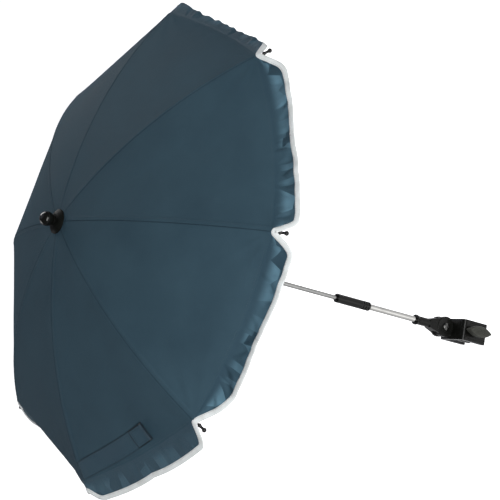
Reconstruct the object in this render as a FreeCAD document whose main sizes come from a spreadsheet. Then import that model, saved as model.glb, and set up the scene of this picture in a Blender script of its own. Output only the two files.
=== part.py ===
import FreeCAD, Part
import math
import os
import re
import Sketcher

# Pram parasol: a clamp for a frame tube, a tilting socket, a two-piece pole with a sleeved
# knuckle, and a fabric canopy on eight ribs with their stretchers and runner.
# +Z runs up the pole, +X along the clamped tube, and the origin is the middle of that tube.

# Driving dimensions in millimetres
SIZES = {
    # Clearances
    "overrun": 1.0,
    "run_clearance": 0.08,
    "slide_clearance": 0.1,
    "seat_gap": 0.3,
    "slot_play": 0.15,
    # Frame clamp
    "bore_radius": 12.0,
    "clamp_width": 34.0,
    "pad_wall": 2.5,
    "pad_lip": 9.5,
    "pad_height": 24.0,
    "rear_arm": 7.0,
    "front_reach": 24.0,
    "front_arm": 9.0,
    "throat_top": 15.0,
    "bridge": 8.0,
    "arm_drop": 30.0,
    "body_round": 7.0,
    "arm_round": 4.0,
    "flute_width": 3.0,
    "flute_depth": 1.2,
    "flute_pitch": 11.5,
    # Pressure shoe, screw and wing knob
    "shoe_back": 4.0,
    "socket_pit": 2.4,
    "screw_radius": 4.0,
    "screw_tip_radius": 2.8,
    "nut_flats": 13.0,
    "nut_height": 6.0,
    "knob_standoff": 5.0,
    "knob_height": 13.0,
    "knob_half_length": 25.0,
    "knob_half_width": 9.0,
    "knob_hub_radius": 8.5,
    "knob_hub_height": 6.0,
    "knob_round": 2.2,
    # Tilt joint
    "yoke_clearance": 1.5,
    "lug_radius": 15.5,
    "lug_thickness": 10.0,
    "lug_neck": 22.0,
    "ear_radius": 16.5,
    "ear_thickness": 5.0,
    "tilt_bolt_radius": 3.0,
    "tilt_head_radius": 6.0,
    "tilt_head_height": 3.2,
    "tilt_nut_flats": 10.0,
    "tilt_nut_height": 5.0,
    # Socket for the pole
    "socket_height": 59.0,
    "socket_radius": 7.0,
    "socket_depth": 34.0,
    "socket_lip_radius": 8.2,
    "socket_lip_height": 5.0,
    "flare_start": 9.0,
    "flare_end": 30.0,
    "flare_width": 26.0,
    # Pole, knuckle and sleeve
    "lower_tube_radius": 4.7,
    "upper_tube_radius": 3.25,
    "tube_wall": 0.8,
    "lower_tube_show": 99.0,
    "upper_tube_show": 366.0,
    "sleeve_length": 68.0,
    "sleeve_radius": 7.0,
    "sleeve_chamfer": 1.2,
    "sleeve_ring_depth": 0.7,
    "sleeve_ring_width": 2.4,
    "sleeve_ring_pitch": 4.8,
    "bend_depth": 13.0,
    "fork_radius": 4.6,
    "fork_base": 9.0,
    "fork_ear": 4.4,
    "fork_slot_depth": 5.0,
    "plug_length": 16.0,
    "tongue_width": 6.4,
    "tongue_thickness": 3.0,
    "tongue_rise": 7.5,
    "rivet_radius": 1.5,
    "rivet_length": 8.6,
    # Canopy frame
    "tip_radius": 350.0,
    "canopy_rise": 124.5,
    "rib_bow": 27.0,
    "rib_width": 3.4,
    "rib_height": 3.2,
    "rib_wall": 0.7,
    "rib_neck": 8.0,
    "rib_eye_radius": 1.7,
    "eye_thickness": 2.0,
    "ear_drop": 4.4,
    "bracket_length": 9.0,
    "bracket_wall": 0.8,
    "bracket_pin_radius": 0.9,
    "bracket_eye_radius": 2.0,
    "stretcher_length": 165.0,
    "stretcher_height": 3.2,
    "stretcher_width": 3.2,
    "stretcher_wall": 0.7,
    "stretcher_flat": 12.0,
    # Crown
    "ring_radius": 9.0,
    "ring_wire_radius": 0.6,
    "notch_radius": 13.0,
    "notch_rise": 1.5,
    "notch_drop": 4.0,
    "notch_core": 5.6,
    "cap_radius": 17.0,
    "cap_rim": 1.6,
    "cap_height": 6.0,
    "cap_top_radius": 9.0,
    "knob_stem_radius": 6.5,
    "knob_stem_height": 3.0,
    "ball_radius": 10.0,
    "ball_socket_depth": 14.0,
    # Runner and its catch
    "runner_ring_radius": 11.0,
    "runner_flange_radius": 13.5,
    "runner_flange_height": 6.0,
    "runner_core": 7.0,
    "runner_radius": 7.6,
    "runner_grip_radius": 8.2,
    "runner_length": 36.0,
    "runner_grip_length": 12.0,
    "runner_taper": 6.0,
    "catch_width": 1.8,
    "catch_leaf": 0.6,
    "catch_tooth": 1.6,
    "catch_tooth_length": 7.0,
    "catch_length": 26.0,
    # Rib tips
    "tip_length": 10.7,
    "tip_pin_radius": 0.9,
    "tip_pin_length": 12.0,
    "tip_stem_radius": 1.3,
    "tip_stem_length": 4.8,
    "tip_collar_radius": 2.6,
    "tip_collar_length": 2.0,
    "tip_waist_radius": 1.7,
    "tip_ball_radius": 3.0,
    # Fabric
    "fabric_thickness": 0.8,
    "fabric_hole": 5.0,
    "corner_inset": 20.8,
    "panel_joint": 0.15,
    "gore_bulge": 18.3,
    "valance_drop": 16.0,
    "valance_flare": 22.0,
    "valance_at_rib": 1.0,
    "piping_height": 4.5,
    "piping_thickness": 1.8,
    "strap_width": 26.0,
    "strap_thickness": 1.2,
    "strap_inset": 4.0,
}

RIB_COUNT = 8
MIDDLE_SHARE = 0.5
# The part of the tilt bolt's head that is straight
HEAD_RIM_SHARE = 0.5
STRAP_RIB = 5
# How far along the rib the stretcher's bracket sits, against the stretcher's length
BRACKET_SHARE = 0.87
# Half-gore stations from the rib to the middle of the gore, and the valance's drop at each
STATION_SHARES = (0.0, 0.2, 0.5, 1.0)
DROP_SHARES = (0.0, 0.92, 0.94, 0.62)
# Where the strap starts in its own half gore and ends in the next one
STRAP_START_SHARE = 0.05
STRAP_END_SHARE = 0.68
# The gore's outward bulge grows along the rib by this power
BULGE_POWER = 3
HEX_SIDES = 6

doc = FreeCAD.newDocument("pram_parasol")
dims = doc.addObject("Spreadsheet::Sheet", "dims")
for row, (size_name, size) in enumerate(SIZES.items(), start=1):
    dims.set(f"A{row}", size_name)
    dims.set(f"B{row}", str(size))
    dims.setAlias(f"B{row}", size_name)
doc.recompute()

SUBPARTS = []
UP = FreeCAD.Vector(0, 0, 1)
SIDEWAYS = FreeCAD.Vector(0, 1, 0)
FORWARD = FreeCAD.Vector(1, 0, 0)
# Turns a piece drawn along +Z so that it points to the front, along -Y
TO_FRONT = FreeCAD.Rotation(FORWARD, 90)

# Levels along the pole and other sizes worked out from the sheet
PIVOT_LEVEL = "(throat_top + bridge + yoke_clearance + ear_radius)"
SOCKET_TOP = f"({PIVOT_LEVEL} + socket_height)"
SLEEVE_BOTTOM = f"({SOCKET_TOP} + lower_tube_show)"
SLEEVE_TOP = f"({SLEEVE_BOTTOM} + sleeve_length)"
BEND_LEVEL = f"({SLEEVE_TOP} - bend_depth)"
TIP_LEVEL = f"({SLEEVE_TOP} + upper_tube_show)"
HUB_LEVEL = f"({TIP_LEVEL} + canopy_rise)"
REAR_FACE = "(bore_radius + pad_wall)"
SHOE_BACK_FACE = "(bore_radius + shoe_back)"
FRONT_FACE = "(front_reach + front_arm)"
YOKE_DEPTH = "(lug_thickness + 2 * seat_gap + 2 * ear_thickness)"
LOWER_BORE = "(lower_tube_radius - tube_wall)"
UPPER_BORE = "(upper_tube_radius - tube_wall)"
GROOVE_HALF = "sqrt(bore_radius^2 - pad_lip^2)"
FABRIC_LIFT = "(rib_height / 2 + seat_gap)"
CAP_LEVEL = f"({HUB_LEVEL} + {FABRIC_LIFT} + fabric_thickness + seat_gap)"
STEM_LEVEL = f"({CAP_LEVEL} + cap_height)"
RIB_CHORD = "sqrt((tip_radius - ring_radius)^2 + canopy_rise^2)"
RIB_ARC = f"({RIB_CHORD}^2 / (8 * rib_bow) + rib_bow / 2)"
COLLAR_END = "(tip_stem_length + tip_collar_length)"
TIP_REACH = f"({COLLAR_END} + tip_length)"
BRACKET_REACH = f"({BRACKET_SHARE} * stretcher_length)"


def bound(text):
    """An expression with the sheet's name put before each size in it."""
    return re.sub(r"[a-z_]+", lambda word: "dims." + word[0] if word[0] in SIZES else word[0], text)


def value(text):
    """The present value of an expression in the sheet's sizes."""
    return float(dims.evalExpression(bound(text)))


def new_body(label, level=None):
    """A body for one sub-part, raised to a level along the pole."""
    body = doc.addObject("PartDesign::Body", label)
    body.Label = label
    if level:
        body.setExpression("Placement.Base.z", bound(level))
    return body


def keep(piece):
    """Lists a finished piece as a sub-part."""
    SUBPARTS.append(piece)
    return piece


def sketch_on(body, role, offset=None):
    """An empty sketch on one of the body's own planes, or parallel to it."""
    sketch = body.newObject("Sketcher::SketchObject", body.Name + "_sketch")
    plane = next(item for item in body.Origin.OriginFeatures if item.Role == role)
    sketch.AttachmentSupport = (plane, [""])
    sketch.MapMode = "FlatFace"
    if offset:
        sketch.setExpression("AttachmentOffset.Base.z", bound(offset))
    return sketch


def bind_all(sketch, constraints):
    """Adds constraints to a sketch, each bound to its expression where it has one."""
    for constraint, text in constraints:
        index = sketch.addConstraint(constraint)
        if text:
            sketch.setExpression(f"Constraints[{index}]", bound(text))


def arc_between(start, end, radius):
    """The shorter arc between two points, turning left for a positive radius."""
    chord = end - start
    rise = math.sqrt(max(radius ** 2 - chord.Length ** 2 / 4, 0))
    left = FreeCAD.Vector(-chord.y, chord.x, 0).normalize()
    centre = (start + end) / 2 + left * math.copysign(rise, radius)
    circle = Part.Circle(centre, UP, abs(radius))
    first, last = (start, end) if radius > 0 else (end, start)
    return Part.ArcOfCircle(circle, circle.parameter(first), circle.parameter(last))


def outline(body, role, corners, offset=None):
    """A closed sketch through corners (x, y) with an arc's radius where a side is round."""
    sketch = sketch_on(body, role, offset)
    points = [FreeCAD.Vector(value(corner[0]), value(corner[1]), 0) for corner in corners]
    sides, ends = [], []
    for index, corner in enumerate(corners):
        start, end = points[index], points[(index + 1) % len(points)]
        radius = value(corner[2]) if len(corner) > 2 else 0
        sides.append(arc_between(start, end, radius) if radius else Part.LineSegment(start, end))
        ends.append((2, 1) if radius < 0 else (1, 2))
    sketch.addGeometry(sides)
    constraints = []
    for index, corner in enumerate(corners):
        following = (index + 1) % len(corners)
        first, last = ends[index]
        meet = Sketcher.Constraint("Coincident", index, last, following, ends[following][0])
        across = Sketcher.Constraint("DistanceX", index, first, points[index].x)
        along = Sketcher.Constraint("DistanceY", index, first, points[index].y)
        constraints += [(meet, None), (across, corner[0]), (along, corner[1])]
        if len(corner) > 2:
            radius = Sketcher.Constraint("Radius", index, abs(value(corner[2])))
            constraints.append((radius, f"abs({corner[2]})"))
    bind_all(sketch, constraints)
    return sketch


def circle_at(body, role, across, along, radius, offset=None):
    """A sketch of one circle."""
    sketch = sketch_on(body, role, offset)
    centre = FreeCAD.Vector(value(across), value(along), 0)
    sketch.addGeometry(Part.Circle(centre, UP, value(radius)))
    bind_all(sketch, [
        (Sketcher.Constraint("DistanceX", 0, 3, centre.x), across),
        (Sketcher.Constraint("DistanceY", 0, 3, centre.y), along),
        (Sketcher.Constraint("Radius", 0, value(radius)), radius),
    ])
    return sketch


def rectangle(body, role, low, high, offset=None):
    """A sketch of a rectangle between two corners."""
    corners = [(low[0], low[1]), (high[0], low[1]), (high[0], high[1]), (low[0], high[1])]
    return outline(body, role, corners, offset)


def hexagon(body, role, flats, offset=None):
    """A sketch of a hexagon of the given width across its flats, flats to the sides."""
    corners = []
    for side in range(HEX_SIDES):
        turn = f"{60 * side + 30}deg"
        reach = f"({flats}) / (2 * cos(30deg))"
        corners.append((f"{reach} * cos({turn})", f"{reach} * sin({turn})"))
    return outline(body, role, corners, offset)


def feature(body, kind, sketch, **settings):
    """A feature of a body made from one sketch."""
    made = body.newObject("PartDesign::" + kind, f"{body.Name}_{kind}")
    made.Profile = sketch
    for name, setting in settings.items():
        setattr(made, name, setting)
    return made


def pad(body, sketch, length, **settings):
    """Adds a sketch drawn out to a length."""
    made = feature(body, "Pad", sketch, **settings)
    made.setExpression("Length", bound(length))
    return made


def pocket(body, sketch, length, **settings):
    """Cuts a sketch in to a depth."""
    made = feature(body, "Pocket", sketch, **settings)
    made.setExpression("Length", bound(length))
    return made


def bore_through(body, sketch):
    """Cuts a sketch right through, both ways."""
    return feature(body, "Pocket", sketch, Type="ThroughAll", SideType="Symmetric")


def turned(body, corners, kind="Revolution"):
    """Turns a profile of (radius, height) corners about the body's upright axis."""
    sketch = outline(body, "XZ_Plane", corners)
    made = feature(body, kind, sketch, ReferenceAxis=(sketch, ["V_Axis"]))
    made.Angle = 360
    return made


def around(body, original, count):
    """Repeats a feature evenly about the body's upright axis."""
    pattern = body.newObject("PartDesign::PolarPattern", body.Name + "_pattern")
    pattern.Originals = [original]
    axis = next(item for item in body.Origin.OriginFeatures if item.Role == "Z_Axis")
    pattern.Axis = (axis, [""])
    pattern.Angle = 360
    pattern.Occurrences = count
    body.Tip = pattern
    return pattern


def rounded(body, kind, size, chosen):
    """Rounds or chamfers the edges of the body that the test chooses."""
    doc.recompute()
    base = body.Tip
    names = [f"Edge{number}" for number, edge in enumerate(base.Shape.Edges, start=1) if chosen(edge)]
    made = body.newObject("PartDesign::" + kind, f"{body.Name}_{kind}")
    made.Base = (base, names)
    made.setExpression("Radius" if kind == "Fillet" else "Size", bound(size))
    body.Tip = made
    return made


def is_straight_along(edge, direction):
    """Whether an edge is a straight line along a direction."""
    if not isinstance(edge.Curve, (Part.Line, Part.LineSegment)):
        return False
    return abs(edge.tangentAt(edge.FirstParameter).dot(direction)) > math.cos(math.radians(1))


def clamp_body():
    """The moulded clamp: two arms under a bridge, with the tilt joint's lug on top."""
    body = new_body("clamp_body")
    top = "throat_top + bridge"
    rear_out = f"{REAR_FACE} + rear_arm"
    section = outline(body, "YZ_Plane", [
        (rear_out, "-arm_drop"), (rear_out, top), (f"-{FRONT_FACE}", top), (f"-{FRONT_FACE}", "-arm_drop"),
        ("-front_reach", "-arm_drop"), ("-front_reach", "throat_top"), (REAR_FACE, "throat_top"),
        (REAR_FACE, "-arm_drop"),
    ])
    pad(body, section, "clamp_width", SideType="Symmetric")
    outer = (value(rear_out), -value(FRONT_FACE))

    def is_outer_corner(edge, level):
        place = edge.CenterOfMass
        at_face = min(abs(place.y - face) for face in outer) < value("seat_gap")
        at_level = abs(place.z - value(level)) < value("seat_gap")
        return at_face and at_level and is_straight_along(edge, FORWARD)

    rounded(body, "Fillet", "body_round", lambda edge: is_outer_corner(edge, top))
    rounded(body, "Fillet", "arm_round", lambda edge: is_outer_corner(edge, "-arm_drop"))
    flute_level = "throat_top - body_round / 2"
    for step in (-1, 1):
        middle = f"{step} * flute_pitch"
        flute = rectangle(body, "XZ_Plane", (f"{middle} - flute_width / 2", "body_round / 2 - arm_drop"),
                          (f"{middle} + flute_width / 2", flute_level), f"{FRONT_FACE} - flute_depth")
        pocket(body, flute, "flute_depth + overrun", Reversed=True)
    neck = rectangle(body, "XZ_Plane", ("-lug_neck / 2", "throat_top + bridge / 2"),
                     ("lug_neck / 2", PIVOT_LEVEL))
    pad(body, neck, "lug_thickness", SideType="Symmetric")
    pad(body, circle_at(body, "XZ_Plane", "0", PIVOT_LEVEL, "lug_radius"), "lug_thickness",
        SideType="Symmetric")
    bore_through(body, circle_at(body, "XZ_Plane", "0", PIVOT_LEVEL, "tilt_bolt_radius"))
    pocket(body, circle_at(body, "XZ_Plane", "0", "0", "screw_radius + run_clearance"),
           f"{FRONT_FACE} + overrun", Reversed=True)
    pocket(body, hexagon(body, "XZ_Plane", "nut_flats"), "front_reach + nut_height", Reversed=True)
    return keep(body)


def grooved_block(label, side, back, width):
    """A jaw with a round groove for the tube: side is 1 behind the tube and -1 before it."""
    body = new_body(label)
    back_face = f"{side} * {back}"
    lip = f"{side} * pad_lip"
    section = outline(body, "YZ_Plane", [
        (back_face, "-pad_height / 2"), (back_face, "pad_height / 2"), (lip, "pad_height / 2"),
        (lip, GROOVE_HALF, f"-{side} * bore_radius"), (lip, f"-{GROOVE_HALF}"), (lip, "-pad_height / 2"),
    ])
    pad(body, section, width, SideType="Symmetric")
    return body


def pressure_shoe():
    """The moving jaw, with a pit in its back for the end of the screw."""
    body = grooved_block("pressure_shoe", -1, SHOE_BACK_FACE, "clamp_width")
    pit = circle_at(body, "XZ_Plane", "0", "0", "screw_tip_radius + run_clearance",
                    f"{SHOE_BACK_FACE} - socket_pit")
    pocket(body, pit, "socket_pit + overrun", Reversed=True)
    return keep(body)


def clamp_screw():
    """The clamp's screw, drawn along its axis from the shoe to the knob."""
    body = new_body("clamp_screw")
    tip_start = f"{SHOE_BACK_FACE} - socket_pit + seat_gap"
    shank_start = f"{SHOE_BACK_FACE} + seat_gap"
    end = f"{FRONT_FACE} + knob_standoff + knob_height / 2"
    turned(body, [("0", tip_start), ("screw_tip_radius", tip_start), ("screw_tip_radius", shank_start),
                  ("screw_radius", shank_start), ("screw_radius", end), ("0", end)])
    body.Placement = FreeCAD.Placement(FreeCAD.Vector(), TO_FRONT)
    return keep(body)


def wing_knob():
    """The wing on the screw: a long pointed blade across a round hub."""
    body = new_body("wing_knob")
    start = f"{FRONT_FACE} + knob_standoff"
    blade_radius = "(knob_half_length^2 + knob_half_width^2) / (2 * knob_half_width)"
    blade = outline(body, "XY_Plane", [
        ("0", "-knob_half_length", blade_radius), ("0", "knob_half_length", blade_radius),
    ], f"{start} + knob_hub_height / 2")
    pad(body, blade, "knob_height - knob_hub_height / 2")
    pad(body, circle_at(body, "XY_Plane", "0", "0", "knob_hub_radius", start), "knob_hub_height")
    hole = circle_at(body, "XY_Plane", "0", "0", "screw_radius", start)
    pocket(body, hole, "knob_height / 2", Reversed=True)
    top = value(f"{start} + knob_height")
    rounded(body, "Fillet", "knob_round", lambda edge: edge.BoundBox.ZMin > top - value("seat_gap"))
    body.Placement = FreeCAD.Placement(FreeCAD.Vector(), TO_FRONT)
    return keep(body)


def hex_nut(label, flats, height, hole, start):
    """A hexagon nut along the front axis."""
    body = new_body(label)
    pad(body, hexagon(body, "XY_Plane", flats, start), height)
    bore_through(body, circle_at(body, "XY_Plane", "0", "0", hole))
    return body


def clamp_fasteners():
    """The tilt joint's bolt and nut, and the clamp screw's nut in the front arm."""
    bolt = new_body("tilt_bolt")
    under_head = f"{YOKE_DEPTH} / 2 + seat_gap"
    crown = f"{HEAD_RIM_SHARE} * tilt_head_height"
    turned(bolt, [("0", f"-({under_head} + tilt_nut_height)"),
                  ("tilt_bolt_radius", f"-({under_head} + tilt_nut_height)"),
                  ("tilt_bolt_radius", under_head), ("tilt_head_radius", under_head),
                  ("tilt_head_radius", f"{under_head} + {crown}"),
                  ("tilt_bolt_radius", f"{under_head} + tilt_head_height"),
                  ("0", f"{under_head} + tilt_head_height")])
    tilt_nut = hex_nut("tilt_nut", "tilt_nut_flats", "tilt_nut_height", "tilt_bolt_radius",
                       f"-({under_head} + tilt_nut_height)")
    raised = FreeCAD.Vector(0, 0, value(PIVOT_LEVEL))
    for piece in (bolt, tilt_nut):
        piece.Placement = FreeCAD.Placement(raised, TO_FRONT)
    screw_nut = hex_nut("screw_nut", "nut_flats", "nut_height", "screw_radius + run_clearance",
                        "front_reach")
    screw_nut.Placement = FreeCAD.Placement(FreeCAD.Vector(), TO_FRONT)
    group = doc.addObject("Part::Compound", "clamp_fasteners")
    group.Label = "clamp_fasteners"
    group.Links = [bolt, tilt_nut, screw_nut]
    return keep(group)


def socket_yoke():
    """The socket that holds the pole, flaring into two round ears of the tilt joint."""
    body = new_body("socket_yoke", PIVOT_LEVEL)
    lip_start = "socket_height - socket_lip_height"
    turned(body, [("0", "flare_start"), ("socket_radius", "flare_start"), ("socket_radius", lip_start),
                  ("socket_lip_radius", "socket_height - socket_lip_height / 2"),
                  ("socket_lip_radius", "socket_height"), ("0", "socket_height")])
    wide = rectangle(body, "XY_Plane", ("-flare_width / 2", f"-{YOKE_DEPTH} / 2"),
                     ("flare_width / 2", f"{YOKE_DEPTH} / 2"), "flare_start")
    slim = rectangle(body, "XY_Plane", ("-socket_radius", "-socket_radius"),
                     ("socket_radius", "socket_radius"), "flare_end")
    flare = body.newObject("PartDesign::AdditiveLoft", "yoke_flare")
    flare.Profile = wide
    flare.Sections = [slim]
    flare.Ruled = True
    body.Tip = flare
    pad(body, circle_at(body, "XZ_Plane", "0", "0", "ear_radius"), YOKE_DEPTH, SideType="Symmetric")
    slot_half = "(lug_thickness / 2 + seat_gap)"
    bore_through(body, rectangle(body, "YZ_Plane", (f"-{slot_half}", "-(ear_radius + overrun)"),
                                 (slot_half, "ear_radius + seat_gap")))
    bore_through(body, circle_at(body, "XZ_Plane", "0", "0", "tilt_bolt_radius + run_clearance"))
    bore = circle_at(body, "XY_Plane", "0", "0", "lower_tube_radius", "socket_height - socket_depth")
    pocket(body, bore, "socket_depth + overrun", Reversed=True)
    return keep(body)


def pole_tube(label, radius, low, high):
    """A plain tube of the pole between two levels."""
    body = new_body(label)
    bore = f"({radius} - tube_wall)"
    turned(body, [(bore, low), (radius, low), (radius, high), (bore, high)])
    return body


def knuckle_fork():
    """The forked half of the knuckle, plugged into the lower tube."""
    body = new_body("knuckle_fork", BEND_LEVEL)
    turned(body, [("0", "-(fork_base + plug_length)"), (LOWER_BORE, "-(fork_base + plug_length)"),
                  (LOWER_BORE, "-fork_base"), ("fork_radius", "-fork_base"), ("fork_radius", "fork_ear"),
                  ("0", "fork_ear")])
    slot_half = "(tongue_thickness / 2 + slide_clearance)"
    bore_through(body, rectangle(body, "YZ_Plane", (f"-{slot_half}", "-fork_slot_depth"),
                                 (slot_half, "fork_ear + overrun")))
    bore_through(body, circle_at(body, "XZ_Plane", "0", "0", "rivet_radius"))
    return keep(body)


def knuckle_tongue():
    """The flat half of the knuckle, plugged into the upper tube."""
    body = new_body("knuckle_tongue", BEND_LEVEL)
    blade = rectangle(body, "XZ_Plane", ("-tongue_width / 2", "0"), ("tongue_width / 2", "tongue_rise"))
    pad(body, blade, "tongue_thickness", SideType="Symmetric")
    pad(body, circle_at(body, "XZ_Plane", "0", "0", "tongue_width / 2"), "tongue_thickness",
        SideType="Symmetric")
    pad(body, circle_at(body, "XY_Plane", "0", "0", UPPER_BORE, "tongue_rise"), "plug_length")
    bore_through(body, circle_at(body, "XZ_Plane", "0", "0", "rivet_radius + run_clearance"))
    return keep(body)


def knuckle_rivet():
    """The cross rivet of the knuckle."""
    rivet = doc.addObject("Part::Cylinder", "knuckle_rivet")
    rivet.Label = "knuckle_rivet"
    rivet.setExpression("Radius", bound("rivet_radius"))
    rivet.setExpression("Height", bound("rivet_length"))
    place = FreeCAD.Vector(0, value("rivet_length / 2"), value(BEND_LEVEL))
    rivet.Placement = FreeCAD.Placement(place, TO_FRONT)
    return keep(rivet)


def joint_sleeve():
    """The sliding sleeve over the knuckle, ringed near its lower end for grip."""
    body = new_body("joint_sleeve", SLEEVE_BOTTOM)
    bore = "(lower_tube_radius + slide_clearance)"
    slim = "sleeve_radius - sleeve_chamfer"
    turned(body, [(bore, "0"), (slim, "0"), ("sleeve_radius", "sleeve_chamfer"),
                  ("sleeve_radius", "sleeve_length - sleeve_chamfer"), (slim, "sleeve_length"),
                  (bore, "sleeve_length")])
    for step in (1, 2, 3):
        low = f"{step} * sleeve_ring_pitch"
        turned(body, [("sleeve_radius + overrun", low), ("sleeve_radius - sleeve_ring_depth", low),
                      ("sleeve_radius - sleeve_ring_depth", f"{low} + sleeve_ring_width"),
                      ("sleeve_radius + overrun", f"{low} + sleeve_ring_width")], "Groove")
    return keep(body)


def slotted_disc(body, inner, outer, low, high):
    """Cuts a slot for each rib or stretcher eye into a disc."""
    half = "(eye_thickness / 2 + slot_play)"
    slot = rectangle(body, "XY_Plane", (inner, f"-{half}"), (f"{outer} + overrun", half),
                     f"{low} - overrun")
    cut = pocket(body, slot, f"{high} - {low} + 2 * overrun", Reversed=True)
    around(body, cut, RIB_COUNT)


def crown_notch():
    """The slotted crown on top of the pole in which the ribs hinge."""
    body = new_body("crown_notch", HUB_LEVEL)
    turned(body, [("upper_tube_radius", "-notch_drop"), ("notch_radius", "-notch_drop"),
                  ("notch_radius", "notch_rise"), ("upper_tube_radius", "notch_rise")])
    wire = "(ring_wire_radius + run_clearance)"
    turned(body, [(f"ring_radius - {wire}", f"-{wire}"), (f"ring_radius + {wire}", f"-{wire}"),
                  (f"ring_radius + {wire}", "notch_rise + overrun"),
                  (f"ring_radius - {wire}", "notch_rise + overrun")], "Groove")
    slotted_disc(body, "notch_core", "notch_radius", "-notch_drop", "notch_rise")
    return keep(body)


def crown_ring():
    """The wire ring through the eyes of the ribs."""
    ring = doc.addObject("Part::Torus", "crown_ring")
    ring.Label = "crown_ring"
    ring.setExpression("Radius1", bound("ring_radius"))
    ring.setExpression("Radius2", bound("ring_wire_radius"))
    ring.setExpression("Placement.Base.z", bound(HUB_LEVEL))
    return keep(ring)


def crown_cap():
    """The cupped washer that holds the fabric down on the crown."""
    body = new_body("crown_cap", CAP_LEVEL)
    turned(body, [("upper_tube_radius", "0"), ("cap_radius", "0"), ("cap_radius", "cap_rim", "cap_radius"),
                  ("cap_top_radius", "cap_height"), ("upper_tube_radius", "cap_height")])
    return keep(body)


def ferrule_knob():
    """The ball on top, pressed on the end of the pole."""
    body = new_body("ferrule_knob", STEM_LEVEL)
    middle = "knob_stem_height + sqrt(ball_radius^2 - knob_stem_radius^2)"
    turned(body, [("upper_tube_radius", "0"), ("knob_stem_radius", "0"),
                  ("knob_stem_radius", "knob_stem_height", "ball_radius"),
                  ("ball_radius", middle, "ball_radius"), ("0", f"{middle} + ball_radius"),
                  ("0", "ball_socket_depth"), ("upper_tube_radius", "ball_socket_depth")])
    return keep(body)


class RibLine:
    """The rib's circular line in its own upright plane, from the crown ring to the tip."""

    def __init__(self):
        hub = FreeCAD.Vector(value("ring_radius"), 0, value(HUB_LEVEL))
        tip = FreeCAD.Vector(value("tip_radius"), 0, value(TIP_LEVEL))
        self.radius = value(RIB_ARC)
        self.chord = (tip - hub).Length
        along = (tip - hub).normalize()
        outward = FreeCAD.Vector(-along.z, 0, along.x)
        self.centre = (hub + tip) / 2 - outward * (self.radius - value("rib_bow"))
        self.start = math.atan2(hub.x - self.centre.x, hub.z - self.centre.z)
        self.sweep = 2 * math.asin(self.chord / 2 / self.radius)

    def point(self, turn, lift=0.0):
        """The point at an angle from the crown ring, lifted off the line."""
        reach = self.radius + lift
        angle = self.start + turn
        return self.centre + FreeCAD.Vector(math.sin(angle), 0, math.cos(angle)) * reach

    def slope(self, turn):
        """The downward slope at an angle from the crown ring, in degrees."""
        return math.degrees(self.start + turn)


def azimuth(number):
    """The direction of a rib, turning left from +X, in degrees."""
    return (number - 1) * 360 / RIB_COUNT


def turned_about_pole(number, place):
    """A placement in the first rib's plane carried round to another rib."""
    return FreeCAD.Placement(FreeCAD.Vector(), FreeCAD.Rotation(UP, azimuth(number))) * place


def rib(number, line):
    """A channel-section rib with its eye at the crown and its bracket for the stretcher."""
    body = new_body(f"rib_{number}")
    # The body's origin is the centre of the rib's arc, and its channel starts on the body's +X
    inner, outer = f"{RIB_ARC} - rib_height / 2", f"{RIB_ARC} + rib_height / 2"
    inside = f"{outer} - rib_wall"
    half, half_bore = "rib_width / 2", "(rib_width / 2 - rib_wall)"
    section = outline(body, "XY_Plane", [
        (inner, f"-{half}"), (outer, f"-{half}"), (outer, half), (inner, half), (inner, half_bore),
        (inside, half_bore), (inside, f"-{half_bore}"), (inner, f"-{half_bore}"),
    ])
    neck_turn = f"(rib_neck / {RIB_ARC} * 180deg / pi)"
    tip_turn = f"({TIP_REACH} / {RIB_ARC} * 180deg / pi)"
    sweep = f"(2 * asin({RIB_CHORD} / (2 * {RIB_ARC})))"
    channel = feature(body, "Revolution", section, ReferenceAxis=(section, ["V_Axis"]))
    channel.setExpression("Angle", bound(f"{sweep} - {neck_turn} - {tip_turn}"))
    eye = (f"{RIB_ARC} * cos({neck_turn})", f"{RIB_ARC} * sin({neck_turn})")
    neck = rectangle(body, "XZ_Plane", (inner, "-rib_neck / 2"), (outer, eye[1]))
    pad(body, neck, "eye_thickness", SideType="Symmetric")
    pad(body, circle_at(body, "XZ_Plane", *eye, "rib_eye_radius"), "eye_thickness", SideType="Symmetric")
    bore_through(body, circle_at(body, "XZ_Plane", *eye, "ring_wire_radius + run_clearance"))
    bracket = f"({BRACKET_REACH} / {RIB_ARC} * 180deg / pi - {neck_turn})"
    pin = (f"({RIB_ARC} - ear_drop) * cos({bracket})", f"-({RIB_ARC} - ear_drop) * sin({bracket})")
    ear_corners = []
    for lift, along in (("- ear_drop", "-1"), ("- ear_drop", "1"), ("", "1"), ("", "-1")):
        angle = f"({bracket} + {along} * bracket_length / 2 / {RIB_ARC} * 180deg / pi)"
        reach = f"({RIB_ARC} {lift})"
        ear_corners.append((f"{reach} * cos({angle})", f"-{reach} * sin({angle})"))
    for side in (-1, 1):
        face = f"{side} * (rib_width / 2 + bracket_wall / 2) - bracket_wall / 2"
        pad(body, outline(body, "XZ_Plane", ear_corners, face), "bracket_wall")
        pad(body, circle_at(body, "XZ_Plane", *pin, "bracket_eye_radius", face), "bracket_wall")
    pad(body, circle_at(body, "XZ_Plane", *pin, "bracket_pin_radius"), "rib_width + bracket_wall",
        SideType="Symmetric")
    tilt = math.degrees(line.start + value("rib_neck") / line.radius) - 90
    place = FreeCAD.Placement(line.centre, FreeCAD.Rotation(SIDEWAYS, tilt))
    body.Placement = turned_about_pole(number, place)
    return keep(body)


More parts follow.
